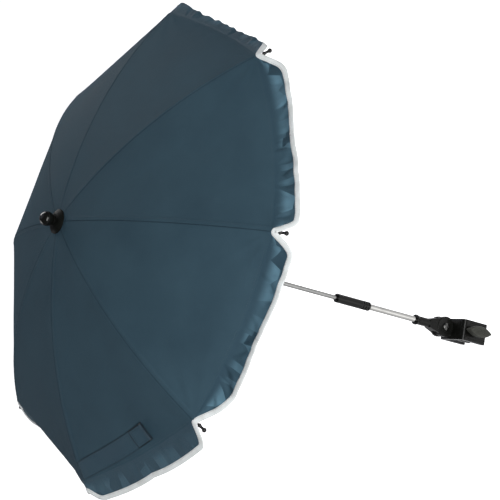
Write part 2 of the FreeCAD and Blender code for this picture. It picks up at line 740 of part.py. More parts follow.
def rib_tip(number, line):
    """The plastic end of a rib: a pin in the channel, a stem, a collar, a waist and a ball."""
    body = new_body(f"rib_tip_{number}")
    ball = f"{TIP_REACH} - tip_ball_radius"
    neck = f"{ball} - sqrt(tip_ball_radius^2 - tip_waist_radius^2)"
    turned(body, [("0", "-tip_pin_length"), ("tip_pin_radius", "-tip_pin_length"), ("tip_pin_radius", "0"),
                  ("tip_stem_radius", "0"), ("tip_stem_radius", "tip_stem_length"),
                  ("tip_collar_radius", "tip_stem_length"), ("tip_collar_radius", COLLAR_END),
                  ("tip_waist_radius", f"{COLLAR_END} + tip_collar_length"),
                  ("tip_waist_radius", neck, "tip_ball_radius"),
                  ("tip_ball_radius", ball, "tip_ball_radius"), ("0", TIP_REACH)])
    end = line.sweep - value(TIP_REACH) / line.radius
    place = FreeCAD.Placement(line.point(end), FreeCAD.Rotation(SIDEWAYS, 90 + line.slope(end)))
    body.Placement = turned_about_pole(number, place)
    return keep(body)


class Linkage:
    """Where the stretcher meets the rib and the runner in the open canopy."""

    def __init__(self, line):
        self.bracket = line.point(value(BRACKET_REACH) / line.radius, -value("ear_drop"))
        reach = self.bracket.x - value("runner_ring_radius")
        self.rise = math.sqrt(value("stretcher_length") ** 2 - reach ** 2)
        self.runner = FreeCAD.Vector(value("runner_ring_radius"), 0, self.bracket.z - self.rise)
        self.slope = math.degrees(math.atan2(self.rise, reach))


def stretcher(number, linkage):
    """A channel-section stretcher, drawn from the runner's end to the rib's end."""
    body = new_body(f"stretcher_{number}")
    half, length = "stretcher_height / 2", "stretcher_length"
    bar = rectangle(body, "XZ_Plane", ("stretcher_flat", f"-{half}"), (f"{length} - stretcher_flat", half))
    pad(body, bar, "stretcher_width", SideType="Symmetric")
    hollow = "stretcher_height / 2 - stretcher_wall"
    bore = rectangle(body, "XZ_Plane", ("stretcher_flat - overrun", f"-({half} + overrun)"),
                     (f"{length} - stretcher_flat + overrun", hollow))
    pocket(body, bore, "stretcher_width - 2 * stretcher_wall", SideType="Symmetric")
    for low, high in (("0", "2 * stretcher_flat"), (f"{length} - 2 * stretcher_flat", length)):
        blade = rectangle(body, "XZ_Plane", (low, f"-{half} / 2"), (high, half))
        pad(body, blade, "eye_thickness", SideType="Symmetric")
    for middle in ("0", length):
        pad(body, circle_at(body, "XZ_Plane", middle, "0", "rib_eye_radius"), "eye_thickness",
            SideType="Symmetric")
    bore_through(body, circle_at(body, "XZ_Plane", "0", "0", "ring_wire_radius + run_clearance"))
    bore_through(body, circle_at(body, "XZ_Plane", length, "0", "bracket_pin_radius + run_clearance"))
    place = FreeCAD.Placement(linkage.runner, FreeCAD.Rotation(SIDEWAYS, -linkage.slope))
    body.Placement = turned_about_pole(number, place)
    return keep(body)


def runner(linkage):
    """The sliding runner: a slotted flange for the stretchers above a grip."""
    body = new_body("runner")
    bore = "(upper_tube_radius + run_clearance)"
    top, bottom = "runner_flange_height / 2", "-runner_flange_height / 2"
    end = f"({top} - runner_length)"
    grip_end = f"{end} + runner_grip_length"
    turned(body, [(bore, end), ("runner_grip_radius", end), ("runner_grip_radius", grip_end),
                  ("runner_core", f"{grip_end} + runner_taper"), ("runner_core", bottom),
                  ("runner_flange_radius", bottom), ("runner_flange_radius", top), (bore, top)])
    slotted_disc(body, "runner_radius", "runner_flange_radius", bottom, top)
    body.Placement.Base = FreeCAD.Vector(0, 0, linkage.runner.z)
    return keep(body)


def upper_tube(linkage):
    """The upper tube, with a slot for the runner's catch."""
    body = pole_tube("upper_tube", "upper_tube_radius", f"{BEND_LEVEL} + tongue_rise",
                     f"{STEM_LEVEL} + ball_socket_depth - seat_gap")
    slot_half = "(catch_width / 2 + slot_play)"
    slot_length = "catch_tooth_length + 2 * slot_play"
    top = linkage.runner.z - value("runner_length - runner_flange_height / 2 + seat_gap - slot_play")
    slot = rectangle(body, "XY_Plane", ("0", f"-{slot_half}"), ("upper_tube_radius + overrun", slot_half))
    slot.AttachmentOffset.Base = FreeCAD.Vector(0, 0, top - value(slot_length))
    pocket(body, slot, slot_length, Reversed=True)
    return keep(body)


def catch_spring(linkage):
    """The leaf spring in the tube whose tooth holds the open runner from below."""
    body = new_body("catch_spring")
    wall = f"(sqrt({UPPER_BORE}^2 - (catch_width / 2)^2) - slide_clearance)"
    tooth = "(upper_tube_radius + catch_tooth)"
    ramp = "(seat_gap - catch_tooth_length)"
    leaf = outline(body, "XZ_Plane", [
        (f"{wall} - catch_leaf", "0"), (tooth, "0"), (tooth, "-catch_tooth"), (wall, ramp),
        (wall, "-catch_length"), (f"{wall} - catch_leaf", "-catch_length"),
    ])
    pad(body, leaf, "catch_width", SideType="Symmetric")
    top = linkage.runner.z - value("runner_length - runner_flange_height / 2 + seat_gap")
    body.Placement.Base = FreeCAD.Vector(0, 0, top)
    return keep(body)


class GoreSurface:
    """The taut fabric of half a gore, measured from its rib towards the middle of the gore."""

    def __init__(self, line):
        self.line = line
        self.half_gore = math.pi / RIB_COUNT
        self.end = line.sweep - value("corner_inset") / line.radius
        self.begin = value("fabric_hole - ring_radius") / line.radius

    def station(self, share):
        """The angle from the rib at a share of the half gore, kept clear of the next panel."""
        joint = value("panel_joint") / value("tip_radius")
        return share * (self.half_gore - joint)

    def chord_share(self, angle):
        """How far a straight thread between two ribs lies from the pole, against the ribs."""
        return math.cos(self.half_gore) / math.cos(self.half_gore - angle)

    def bulge(self, share, along_share):
        """The outward bulge of the gore between two ribs, growing towards the hem."""
        return value("gore_bulge") * math.sin(math.pi / 2 * share) * along_share ** BULGE_POWER

    def dome(self, share, along_share, lift):
        """A point of the dome in its own upright plane."""
        turn = self.begin + (self.end - self.begin) * along_share
        point = self.line.point(turn, lift)
        slope = math.radians(self.line.slope(turn))
        spread = self.bulge(share, along_share)
        narrow = self.chord_share(self.station(share))
        outward = FreeCAD.Vector(math.cos(slope), 0, -math.sin(slope))
        return FreeCAD.Vector(point.x * narrow, 0, point.z) + outward * spread

    def hem(self, share, drop_share, lift, extra=0.0):
        """A point of the valance's lower edge in its own upright plane."""
        top = self.dome(share, 1.0, lift)
        slope = math.radians(self.line.slope(self.end))
        fall = FreeCAD.Vector(value("valance_flare"), 0, -value("valance_drop"))
        along = FreeCAD.Vector(math.cos(slope), 0, -math.sin(slope))
        run = fall * drop_share + along * value("valance_at_rib") * (1 - drop_share)
        return top + run + FreeCAD.Vector(run).normalize() * extra

    def hem_direction(self, share, drop_share, lift):
        """The direction across the valance's thickness, outwards."""
        run = (self.hem(share, drop_share, lift) - self.dome(share, 1.0, lift)).normalize()
        return FreeCAD.Vector(-run.z, 0, run.x)


def swung(point, angle):
    """A point of the rib's plane swung about the pole."""
    return FreeCAD.Vector(point.x * math.cos(angle), point.x * math.sin(angle), point.z)


def gore_stations():
    """Stations across a whole panel, from one mid-gore through the rib to the other."""
    half = list(zip(STATION_SHARES, DROP_SHARES))
    before = [(-1, share, drop) for share, drop in reversed(half[1:])]
    return before + [(1, share, drop) for share, drop in half]


def closed_wire(corners, middles):
    """A closed wire through corners, with an arc through a middle point where one is given."""
    edges = []
    for index, corner in enumerate(corners):
        following = corners[(index + 1) % len(corners)]
        if index in middles:
            edges.append(Part.Arc(corner, middles[index], following).toShape())
        else:
            edges.append(Part.makeLine(corner, following))
    return Part.Wire(edges)


def canopy_panel(number, surface):
    """One panel of the canopy, from mid-gore to mid-gore over its rib, with its valance."""
    low = value(FABRIC_LIFT)
    high = low + value("fabric_thickness")
    sections = []
    for side, share, drop in gore_stations():
        angle = side * surface.station(share)
        thick = surface.hem_direction(share, drop, low) * value("fabric_thickness")
        hem = surface.hem(share, drop, low)
        corners = [surface.dome(share, 0, low), surface.dome(share, 0, high), surface.dome(share, 1, high),
                   hem + thick, hem, surface.dome(share, 1, low)]
        middles = {1: surface.dome(share, MIDDLE_SHARE, high), 5: surface.dome(share, MIDDLE_SHARE, low)}
        sections.append(closed_wire([swung(corner, angle) for corner in corners],
                                    {index: swung(middle, angle) for index, middle in middles.items()}))
    return soft_piece(f"canopy_panel_{number}", Part.makeLoft(sections, True, True), number)


def piping(number, surface):
    """The bound edge under one panel's valance."""
    low = value(FABRIC_LIFT)
    sections = []
    for side, share, drop in gore_stations():
        angle = side * surface.station(share)
        across = surface.hem_direction(share, drop, low)
        inner, outer = across * 0, across * value("piping_thickness")
        upper = surface.hem(share, drop, low)
        lower = surface.hem(share, drop, low, value("piping_height"))
        corners = [upper + inner, upper + outer, lower + outer, lower + inner]
        sections.append(closed_wire([swung(corner, angle) for corner in corners], {}))
    return soft_piece(f"piping_{number}", Part.makeLoft(sections, True, True), number)


def soft_piece(label, shape, number):
    """A fabric piece carried round to its rib."""
    piece = doc.addObject("Part::Feature", label)
    piece.Label = label
    piece.Shape = shape
    piece.Placement = turned_about_pole(number, FreeCAD.Placement())
    return keep(piece)


def closing_strap(surface):
    """The closing strap, lying along the gore beside its rib and past the middle of the gore."""
    low = value(FABRIC_LIFT) + value("fabric_thickness + 2 * seat_gap")
    high = low + value("strap_thickness")
    fabric_run = (surface.end - surface.begin) * surface.line.radius
    outer_share = 1 - value("strap_inset") / fabric_run
    inner_share = outer_share - value("strap_width") / fabric_run
    stations = [(share, surface.station(share)) for share in (STRAP_START_SHARE,) + STATION_SHARES[1:]]
    stations.append((STRAP_END_SHARE, 2 * surface.half_gore - surface.station(STRAP_END_SHARE)))
    sections = []
    for share, angle in stations:
        corners = [surface.dome(share, inner_share, low), surface.dome(share, inner_share, high),
                   surface.dome(share, outer_share, high), surface.dome(share, outer_share, low)]
        sections.append(closed_wire([swung(corner, angle) for corner in corners], {}))
    return soft_piece("closing_strap", Part.makeLoft(sections, True, True), STRAP_RIB)


def build():
    """Builds every sub-part of the parasol."""
    line = RibLine()
    linkage = Linkage(line)
    surface = GoreSurface(line)
    clamp_body()
    keep(grooved_block("rear_pad", 1, REAR_FACE, "clamp_width"))
    pressure_shoe()
    clamp_screw()
    wing_knob()
    clamp_fasteners()
    socket_yoke()
    keep(pole_tube("lower_tube", "lower_tube_radius", f"{SOCKET_TOP} - socket_depth",
                   f"{BEND_LEVEL} - fork_base"))
    knuckle_fork()
    knuckle_tongue()
    knuckle_rivet()
    joint_sleeve()
    upper_tube(linkage)
    catch_spring(linkage)
    runner(linkage)
    crown_notch()
    crown_ring()
    crown_cap()
    ferrule_knob()
    for number in range(1, RIB_COUNT + 1):
        rib(number, line)
        rib_tip(number, line)
        stretcher(number, linkage)
        canopy_panel(number, surface)
        piping(number, surface)
    closing_strap(surface)
    doc.recompute()
    print("bracket", linkage.bracket, "runner", linkage.runner, "slope", linkage.slope)
    print("rib centre", line.centre, "radius", line.radius, "hub level", value(HUB_LEVEL))


def check():
    """Stops before anything is written if an object failed or a shape is not sound."""
    for item in doc.Objects:
        if "Invalid" in item.State or "Error" in item.State:
            raise RuntimeError(f"{item.Label} did not compute")
    for piece in SUBPARTS:
        if piece.Shape.isNull() or not piece.Shape.isValid():
            raise RuntimeError(f"{piece.Label} is not a sound shape")


def write():
    """Writes each sub-part to a file of its own name."""
    os.makedirs("parts", exist_ok=True)
    for piece in SUBPARTS:
        piece.Shape.exportStep(f"parts/{piece.Label}.step")


build()
check()
write()
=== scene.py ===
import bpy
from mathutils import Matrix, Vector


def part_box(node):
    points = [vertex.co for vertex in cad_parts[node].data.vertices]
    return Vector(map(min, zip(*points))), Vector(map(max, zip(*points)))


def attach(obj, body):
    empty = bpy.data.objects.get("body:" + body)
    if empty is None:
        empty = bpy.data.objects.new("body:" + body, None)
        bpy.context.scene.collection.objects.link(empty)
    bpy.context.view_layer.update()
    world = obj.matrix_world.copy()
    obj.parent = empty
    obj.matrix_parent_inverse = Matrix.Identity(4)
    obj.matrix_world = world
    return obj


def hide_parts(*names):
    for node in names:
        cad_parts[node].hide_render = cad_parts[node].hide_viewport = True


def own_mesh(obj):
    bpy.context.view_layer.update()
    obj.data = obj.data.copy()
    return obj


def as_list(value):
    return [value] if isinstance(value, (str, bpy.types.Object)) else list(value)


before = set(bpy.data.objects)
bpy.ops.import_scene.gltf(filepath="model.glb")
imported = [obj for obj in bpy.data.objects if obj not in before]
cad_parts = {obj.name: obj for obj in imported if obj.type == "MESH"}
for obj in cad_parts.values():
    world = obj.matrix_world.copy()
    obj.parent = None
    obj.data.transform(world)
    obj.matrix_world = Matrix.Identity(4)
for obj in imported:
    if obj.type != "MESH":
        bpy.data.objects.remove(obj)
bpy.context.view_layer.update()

import math
import random

import bpy
import numpy as np
from mathutils import Matrix, Vector

MM = 0.001
TAU = 2 * math.pi
SCENE = bpy.context.scene

# Shape of the canopy, in millimetres and radians, as in the part's source
RIB_COUNT = 8
HALF = math.pi / RIB_COUNT
# A rib's ends, as distance to the pole and level, and its arc's middle and radius
RIB_INNER, RIB_OUTER = (9.0, 757.5), (350.0, 633.0)
ARC_X, ARC_Z, ARC_RADIUS = -25.108942, 134.835147, 623.598380
RIB_START = math.atan2(RIB_INNER[0] - ARC_X, RIB_INNER[1] - ARC_Z)
RIB_SWEEP = math.atan2(RIB_OUTER[0] - ARC_X, RIB_OUTER[1] - ARC_Z) - RIB_START
# How far from the pole the cloth starts, and how far short of the rib's end it stops
CLOTH_INNER, CLOTH_SHORT = 5.0, 20.8
CLOTH_BEGIN = (CLOTH_INNER - RIB_INNER[0]) / ARC_RADIUS
CLOTH_END = RIB_SWEEP - CLOTH_SHORT / ARC_RADIUS
CLOTH_RUN = (CLOTH_END - CLOTH_BEGIN) * ARC_RADIUS
CLOTH_LIFT, CLOTH_THICK = 2.7, 0.45
# The cloth's length as its map and its puckers count it
MAP_RUN = 345.0
# How widely the cloth rounds over a rib, at most and as a share of its distance to the pole
RIDGE_ROUND, RIDGE_SHARE = 2.2, 0.16
# How far a full gore bulges at its outer seam, and how far it rounds over there, from where on
BULGE, ROUND_OVER, ROUND_START = 18.3, 3.2, 0.91
# The valance's fall at a rib in degrees, its depth, and half the hem between two ribs
FALL = math.degrees(math.atan2(16.0, 22.0))
VALANCE_DEPTH, HEM_HALF = 27.2, 134.0
# How far the valance lies under the cloth at their seam, how deep, and its notch at a rib
SEAM_LAP, SEAM_TUCK, NOTCH_HALF = 3.0, 0.75, 2.0
# How much shallower the valance is at mid-gore, and from where on
HEM_SINK, SINK_START = 0.36, 26.0
PIPING_WIDTH, PIPING_THICK, PIPING_LAP = 7.6, 1.8, 2.2

# Gores are numbered by the rib they start from. Each one's share of the full bulge
GORE_BULGE = {4: 0.45, 5: 0.35, 6: 0.5, 7: 0.62, 8: 0.5}
# How much steeper the valance hangs at its seam and hem, in degrees. Far gores hang alike
GORE_SEAM_HANG = {5: 8.0, 6: 20.0, 7: 20.0, 8: 14.0}
GORE_HEM_HANG = {5: 0.0, 6: -26.0, 7: -26.0, 8: 10.0}
FAR_HANG = 40.0
# How far the hem rolls under in a gore and at a rib, in degrees, and from where on
GORE_ROLL, RIB_ROLL, ROLL_START = {8: 190.0}, {1: 190.0}, 0.70
# The strength of a gore's folds, its share of the valance's depth, and the gores whose valance gets
# full painted light
GORE_FOLDS, GORE_DEPTH, LIT_GORES = {5: 0.2, 8: 0.8}, {8: 0.8}, (6, 7)
# In what distance the hem rises from the notch at a gore's first and second rib
GORE_RISE = {5: (24.0, 22.0), 6: (64.0, 26.0), 7: (15.0, 42.0), 8: (34.0, 60.0)}
PLAIN_RISE = (28.0, 28.0)
# One gore keeps a soft crease from lying folded: its depth and its place across the gore
GORE_VALLEY, VALLEY_PLACE = {7: 2.0}, 0.54
# The hem's reach past the seam at a rib, where the valance hangs over the tip
RIB_REACH, PLAIN_REACH = {1: 34.0, 5: 13.0}, 1.0

# Slow waves of slack and at the hem: number, and ranges of their rates across and along
SLACK_WAVES = (7, (0.6, 2.2), (0.5, 2.4))
HEM_WAVES = (5, (5.0, 12.0), (0.2, 0.6))
PUCKER_SEED, WAVE_SEED = 20, 40
SLACK_HIGH, PUCKER_HIGH, WAVE_HIGH, FAN_HIGH = 0.8, 0.17, 0.7, 0.4
PUCKER_PITCH = 8.5
# The felled seam on a rib: where its layers start and end, their height and share on the left
FELL_START, FELL_END, FELL_HIGH, FELL_LEFT = (0.2, 0.9), (6.0, 6.9), 0.42, 0.25
GROOVE_WIDE, GROOVE_DEEP = 0.55, 0.4
# Between which distances to the pole the seam flattens out
SEAM_CLEAR = (16.0, 46.0)


def azimuth(number):
    """The direction of a rib about the pole."""
    return (number - 1) * TAU / RIB_COUNT


def gore_of(rib, side):
    """The gore on one side of a rib."""
    return rib if side > 0 else (rib - 2) % RIB_COUNT + 1


def smooth(value, low, high):
    """A smooth step from 0 at low to 1 at high."""
    share = np.clip((value - low) / (high - low), 0, 1)
    return share * share * (3 - 2 * share)


def ripple(seed, waves, across, along):
    """The height of a fixed set of slow waves."""
    count, across_rates, along_rates = waves
    rng, total = random.Random(seed), 0
    for _ in range(count):
        fa, fl = rng.uniform(*across_rates), rng.uniform(*along_rates)
        phase, weight = rng.uniform(0, TAU), rng.uniform(0.5, 1.0)
        total = total + weight * np.sin(TAU * (fa * across + fl * along) + phase)
    return total / count


def gore_place(cross):
    """The place across a gore, from its first rib to its second, of a share off a rib."""
    return np.where(cross >= 0, np.abs(cross) / 2, 1 - np.abs(cross) / 2)


def in_each_gore(rib, cross, value_of):
    """What a function says of the gore that each column lies in."""
    left, right = (value_of(gore_of(rib, side)) for side in (-1, 1))
    return np.where(cross >= 0, right, left)


def per_gore(rib, cross, values, default=1.0):
    """A value of the gore that each column lies in."""
    return in_each_gore(rib, cross, lambda gore: values.get(gore, default))


def to_rib(cross):
    """The share of a half gore from the nearest rib, also past mid-gore."""
    return 1 - np.abs(1 - np.abs(cross))


def apart(cross):
    """A rounded rise from 0 at a rib to 1 in the middle of the gore."""
    return np.sin(math.pi / 2 * to_rib(cross))


def past_ends(values):
    """The values with one more at each end."""
    return np.concatenate([[2 * values[0] - values[1]], values, [2 * values[-1] - values[-2]]])


def swing(radius, level, angle):
    """Points from their distance to the pole, level and direction."""
    return np.stack([radius * np.cos(angle), radius * np.sin(angle), level + 0 * angle], axis=-1)


def turn_at(along):
    """The turn on a rib's arc at a share of the cloth's run."""
    return RIB_START + CLOTH_BEGIN + (CLOTH_END - CLOTH_BEGIN) * along


def rib_radius(along):
    """A rib's distance to the pole at a share of the cloth's run."""
    return ARC_X + ARC_RADIUS * np.sin(turn_at(along))


def cloth_base(rib, cross, along):
    """The taut cloth: distance to the pole, level, direction and turn on the arc."""
    turn = turn_at(along)
    reach = ARC_RADIUS + CLOTH_LIFT
    radius = ARC_X + reach * np.sin(turn)
    level = ARC_Z + reach * np.cos(turn)
    share = to_rib(cross)
    soft = np.minimum(RIDGE_ROUND, RIDGE_SHARE * radius) / (HALF * radius)
    eased = (np.sqrt(share ** 2 + soft ** 2) - soft) / (np.sqrt(1 + soft ** 2) - soft)
    narrow = math.cos(HALF) / np.cos(HALF * (1 - eased))
    bulge = BULGE * per_gore(rib, cross, GORE_BULGE) * apart(cross) * along ** 3
    rounding = np.clip((along - ROUND_START) / (1 - ROUND_START), 0, 1)
    over = ROUND_OVER * apart(cross) * rounding ** 2
    radius = radius * narrow + np.cos(turn) * bulge - np.sin(turn) * over
    level = level - np.sin(turn) * bulge - np.cos(turn) * over
    return radius, level, azimuth(rib) + cross * HALF, turn


def gore_relief(gore, place, along, aside):
    """The height of one gore's slack, puckers, waves at the hem and fans of creases."""
    middle, run = np.sin(math.pi * place), along * MAP_RUN
    slack = ripple(gore, SLACK_WAVES, place, along) * middle * smooth(along, 0.05, 0.4)
    phase = random.Random(gore + PUCKER_SEED).uniform(0, TAU)
    pucker = np.sin(TAU * run / PUCKER_PITCH + phase + 1.3 * np.sin(run / 31.0))
    pucker = pucker * np.exp(-aside / 13.0) * (1 - np.exp(-aside / 1.6))
    waves = ripple(gore + WAVE_SEED, HEM_WAVES, place, along)
    waves = waves * smooth(along, 0.84, 1.0) * middle ** 0.5
    fan = np.cos(np.arctan2(aside, np.maximum(1 - along, 0.004) * MAP_RUN) * 11.0 + phase)
    fan = fan * smooth(along, 0.62, 0.9) * np.exp(-aside / 60.0) * smooth(aside, 4.0, 18.0)
    return SLACK_HIGH * slack + PUCKER_HIGH * pucker + WAVE_HIGH * waves + FAN_HIGH * fan


def cloth_relief(rib, cross, along):
    """The small height of seams, puckers and slack on the taut cloth."""
    radius, place = rib_radius(along), gore_place(cross)
    aside = to_rib(cross) * HALF * radius
    height = in_each_gore(rib, cross, lambda gore: gore_relief(gore, place, along, aside))
    fell = smooth(aside, *FELL_START) * (1 - smooth(aside, *FELL_END))
    fell = fell * np.where(cross >= 0, 1.0, FELL_LEFT)
    groove = np.exp(-(aside / GROOVE_WIDE) ** 2)
    away = (place - VALLEY_PLACE) * 2 * HALF * radius
    valley = np.exp(-np.sqrt(away ** 2 + 4.0) / 26.0)
    valley = valley * smooth(along, 0.1, 0.5) * (1 - smooth(along, 0.8, 1.0))
    valley = valley * per_gore(rib, cross, GORE_VALLEY, 0.0)
    seam = smooth(radius, *SEAM_CLEAR) * (FELL_HIGH * fell - GROOVE_DEEP * groove)
    return height + seam - valley


def raised(base, height):
    """Points at a height off the taut cloth."""
    radius, level, angle, turn = base
    return swing(radius + np.sin(turn) * height, level + np.cos(turn) * height, angle)


def cloth_points(rib, cross, along):
    """Points of the dressed cloth."""
    return raised(cloth_base(rib, cross, along), cloth_relief(rib, cross, along))


def hem_depth(rib, cross):
    """How far the valance reaches past the seam."""
    aside = to_rib(cross) * HEM_HALF
    first = GORE_RISE.get(gore_of(rib, 1), PLAIN_RISE)[0]
    second = GORE_RISE.get(gore_of(rib, -1), PLAIN_RISE)[1]
    rise = np.where(cross >= 0, first, second)
    rising = smooth(aside, NOTCH_HALF, NOTCH_HALF + rise) ** 0.65
    sinking = 1 - HEM_SINK * np.clip((aside - SINK_START) / (HEM_HALF - SINK_START), 0, 1)
    least = RIB_REACH.get(rib, PLAIN_REACH)
    spare = (1 - per_gore(rib, cross, GORE_BULGE)) * BULGE * apart(cross)
    full = VALANCE_DEPTH * per_gore(rib, cross, GORE_DEPTH) * sinking
    return least + (full - least) * rising + spare


def valance_folds(gore):
    """One gore's wedge folds: place along the hem, half width, height, lean and apex."""
    rng = random.Random(gore * 7 + 3)
    folds, place = [], rng.uniform(12.0, 22.0)
    while place < 2 * HEM_HALF - 12.0:
        height = rng.choice((-1, 1)) * rng.uniform(1.8, 4.6)
        width, lean, apex = rng.uniform(6.0, 14.0), rng.uniform(-13.0, 13.0), rng.uniform(-0.1, 0.4)
        folds.append((place, width, height, lean, apex))
        place += rng.uniform(12.0, 26.0)
    return folds


def fold_height(gore, place, down):
    """The height of one gore's folds, flatter towards the hem."""
    starting, flattening = smooth(down, 0.0, 0.15), 1.3 - 1.05 * smooth(down, 0.55, 1.0)
    total = 0
    for middle, width, rise, lean, apex in valance_folds(gore):
        grown = np.clip((down - apex) / (1 - apex), 0, 1)
        away = (place - middle - lean * (down - 0.5)) / (width * grown + 1.5)
        tent = np.maximum(1 - np.sqrt(away ** 2 + 0.012), 0)
        total = total + rise * grown * tent * starting * flattening
    return total


def bent_run(length, first, turned):
    """How far out and down a strip reaches that turns evenly from a first slope."""
    chord = length * np.sinc(turned / TAU)
    return chord * np.cos(first + turned / 2), -chord * np.sin(first + turned / 2)


def valance_points(rib, cross, down, inner=0.0):
    """Points of the gathered valance, down from 0 at the seam to 1 at the hem."""
    under = SEAM_LAP * (1 - smooth(down, 0.0, 0.12))
    radius, level, angle, _ = cloth_base(rib, cross, 1 - under / CLOTH_RUN)
    far = apart(cross)
    first = np.radians(FALL + far * per_gore(rib, cross, GORE_SEAM_HANG, FAR_HANG))
    last = np.radians(FALL + far * per_gore(rib, cross, GORE_HEM_HANG, FAR_HANG))
    roll = far * per_gore(rib, cross, GORE_ROLL, 0.0) + (1 - far) * RIB_ROLL.get(rib, 0.0)
    roll = np.radians(roll)
    depth = hem_depth(rib, cross)
    place = gore_place(cross) * 2 * HEM_HALF
    height = in_each_gore(rib, cross, lambda gore: fold_height(gore, place, down))
    height = height * smooth(depth, 3.0, 20.0) * per_gore(rib, cross, GORE_FOLDS)
    height = height - SEAM_TUCK * (1 - smooth(down, 0.0, 0.16)) - inner
    upper = np.minimum(down / ROLL_START, 1)
    lower = np.maximum(down - ROLL_START, 0) / (1 - ROLL_START)
    out, sink = bent_run(depth * ROLL_START * upper, first, (last - first) * upper)
    out_more, sink_more = bent_run(depth * (1 - ROLL_START) * lower, last, roll * lower)
    slope = first + (last - first) * upper + roll * lower
    radius = radius + out + out_more + np.sin(slope) * height
    level = level + sink + sink_more + np.cos(slope) * height
    return swing(radius, level, angle)


def unit(vectors):
    """Vectors scaled to length one."""
    return vectors / np.maximum(np.linalg.norm(vectors, axis=-1, keepdims=True), 1e-12)


def normals_of(grid):
    """Unit normals of a grid of points, rows along and columns across."""
    return unit(np.cross(np.gradient(grid, axis=0), np.gradient(grid, axis=1)))


def run_of(line):
    """How far along a line each of its points lies."""
    return np.concatenate([[0], np.cumsum(np.linalg.norm(np.diff(line, axis=0), axis=1))])


def circle(count):
    """Evenly spaced points on a circle of radius one."""
    turns = np.arange(count) * TAU / count
    return np.stack([np.cos(turns), np.sin(turns)], axis=-1)


def squared(values, power):
    """A circle's values made squarer by a power below one."""
    return np.sign(values) * np.abs(values) ** power


def grid_area(grid):
    """The area of a grid of points, in its own unit squared."""
    down, right = np.diff(grid, axis=0), np.diff(grid, axis=1)
    halves = np.cross(down[:, :-1], right[:-1]), np.cross(right[1:], down[:, 1:])
    return 0.5 * sum(float(np.linalg.norm(half, axis=-1).sum()) for half in halves)


def new_piece(name, points, faces, material, pairs=None, flat=0, normals=None):
    """A smooth mesh piece from points in millimetres, with a map of one pair per face corner.

    The last faces, as many as flat says, stay unsmoothed. A zero normal leaves a corner alone."""
    mesh = bpy.data.meshes.new(name)
    mesh.from_pydata((np.asarray(points, float).reshape(-1, 3) * MM).tolist(), [], faces)
    if pairs is not None:
        layer = mesh.uv_layers.new(name="UVMap")
        layer.data.foreach_set("uv", np.asarray(pairs, np.float32).reshape(-1))
    mesh.polygons.foreach_set("use_smooth", [True] * (len(faces) - flat) + [False] * flat)
    mesh.materials.append(material)
    mesh.update()
    if normals is not None:
        mesh.normals_split_custom_set(np.asarray(normals, float).tolist())
    piece = bpy.data.objects.new(name, mesh)
    SCENE.collection.objects.link(piece)
    return piece


def tube_faces(rows, cols, closed=False, flip=False):
    """The faces of a tube of rings, with ends unless it is closed."""
    faces = []
    for i in range(rows if closed else rows - 1):
        for j in range(cols):
            here, there, beside = i * cols, (i + 1) % rows * cols, (j + 1) % cols
            a, b, c, d = here + j, here + beside, there + beside, there + j
            faces.append((a, d, c, b) if flip else (a, b, c, d))
    if not closed:
        first, last = tuple(range(cols)), tuple((rows - 1) * cols + j for j in range(cols))
        faces += [first, last[::-1]] if flip else [first[::-1], last]
    return faces


def slab(name, outer, normal, thickness, material, pair_of):
    """A closed sheet of cloth under a grid of points. pair_of gives the map's pair at a corner."""
    rows, cols = outer.shape[:2]
    inner = outer - normal * thickness
    count = rows * cols
    grid = np.arange(count).reshape(rows, cols)
    top = np.stack([grid[:-1, :-1], grid[1:, :-1], grid[1:, 1:], grid[:-1, 1:]], axis=-1)
    top = top.reshape(-1, 4)
    faces = top.tolist() + (count + top[:, ::-1]).tolist()
    sides = grid[0], grid[1:, -1], grid[-1, -2::-1], grid[-2:0:-1, 0]
    ring = np.concatenate(sides).tolist()
    for a, b in zip(ring, ring[1:] + ring[:1]):
        faces.append((a, b, b + count, a + count))
    pairs = []
    for face in faces:
        cells = [((v % count) // cols, (v % count) % cols) for v in face]
        right = max(j for _, j in cells) > cols // 2
        pairs += [pair_of(i, j, right) for i, j in cells]
    points = np.concatenate([outer.reshape(-1, 3), inner.reshape(-1, 3)])
    both = np.concatenate([normal.reshape(-1, 3), -normal.reshape(-1, 3)])
    smoothed = both[np.array(faces[:2 * len(top)]).reshape(-1)]
    normals = np.concatenate([smoothed, np.zeros((4 * len(ring), 3))])
    return new_piece(name, points, faces, material, pairs, len(ring), normals)


def tube_along(name, centres, wide, high, section, material, closed=False):
    """A tube along centres with a section given in the directions wide and high."""
    rings = centres[:, None] + wide[:, None] * section[None, :, :1]
    rings = rings + high[:, None] * section[None, :, 1:]
    rows, cols = rings.shape[:2]
    faces = tube_faces(rows, cols, closed)
    steps, around = run_of(centres) * MM, run_of(section) * MM
    pairs = [(around[v % cols], steps[v // cols]) for face in faces for v in face]
    return new_piece(name, rings, faces, material, pairs)


# Stitches: pitch, length, width, a row's free ends, sides and flatness
STITCH_PITCH, STITCH_LENGTH, STITCH_WIDTH, STITCH_SKIP = 3.2, 2.2, 0.42, 1.5
STITCH_SIDES, STITCH_FLAT = 6, 0.7
# Each ring's place along a stitch, and its share and rise of the width
STITCH_SHARES = np.array((0.0, 0.16, 0.5, 0.84, 1.0))
STITCH_FAT = np.array((0.35, 0.85, 1.0, 0.85, 0.35))
STITCH_RISE = np.array((-0.35, 0.25, 0.45, 0.25, -0.35))


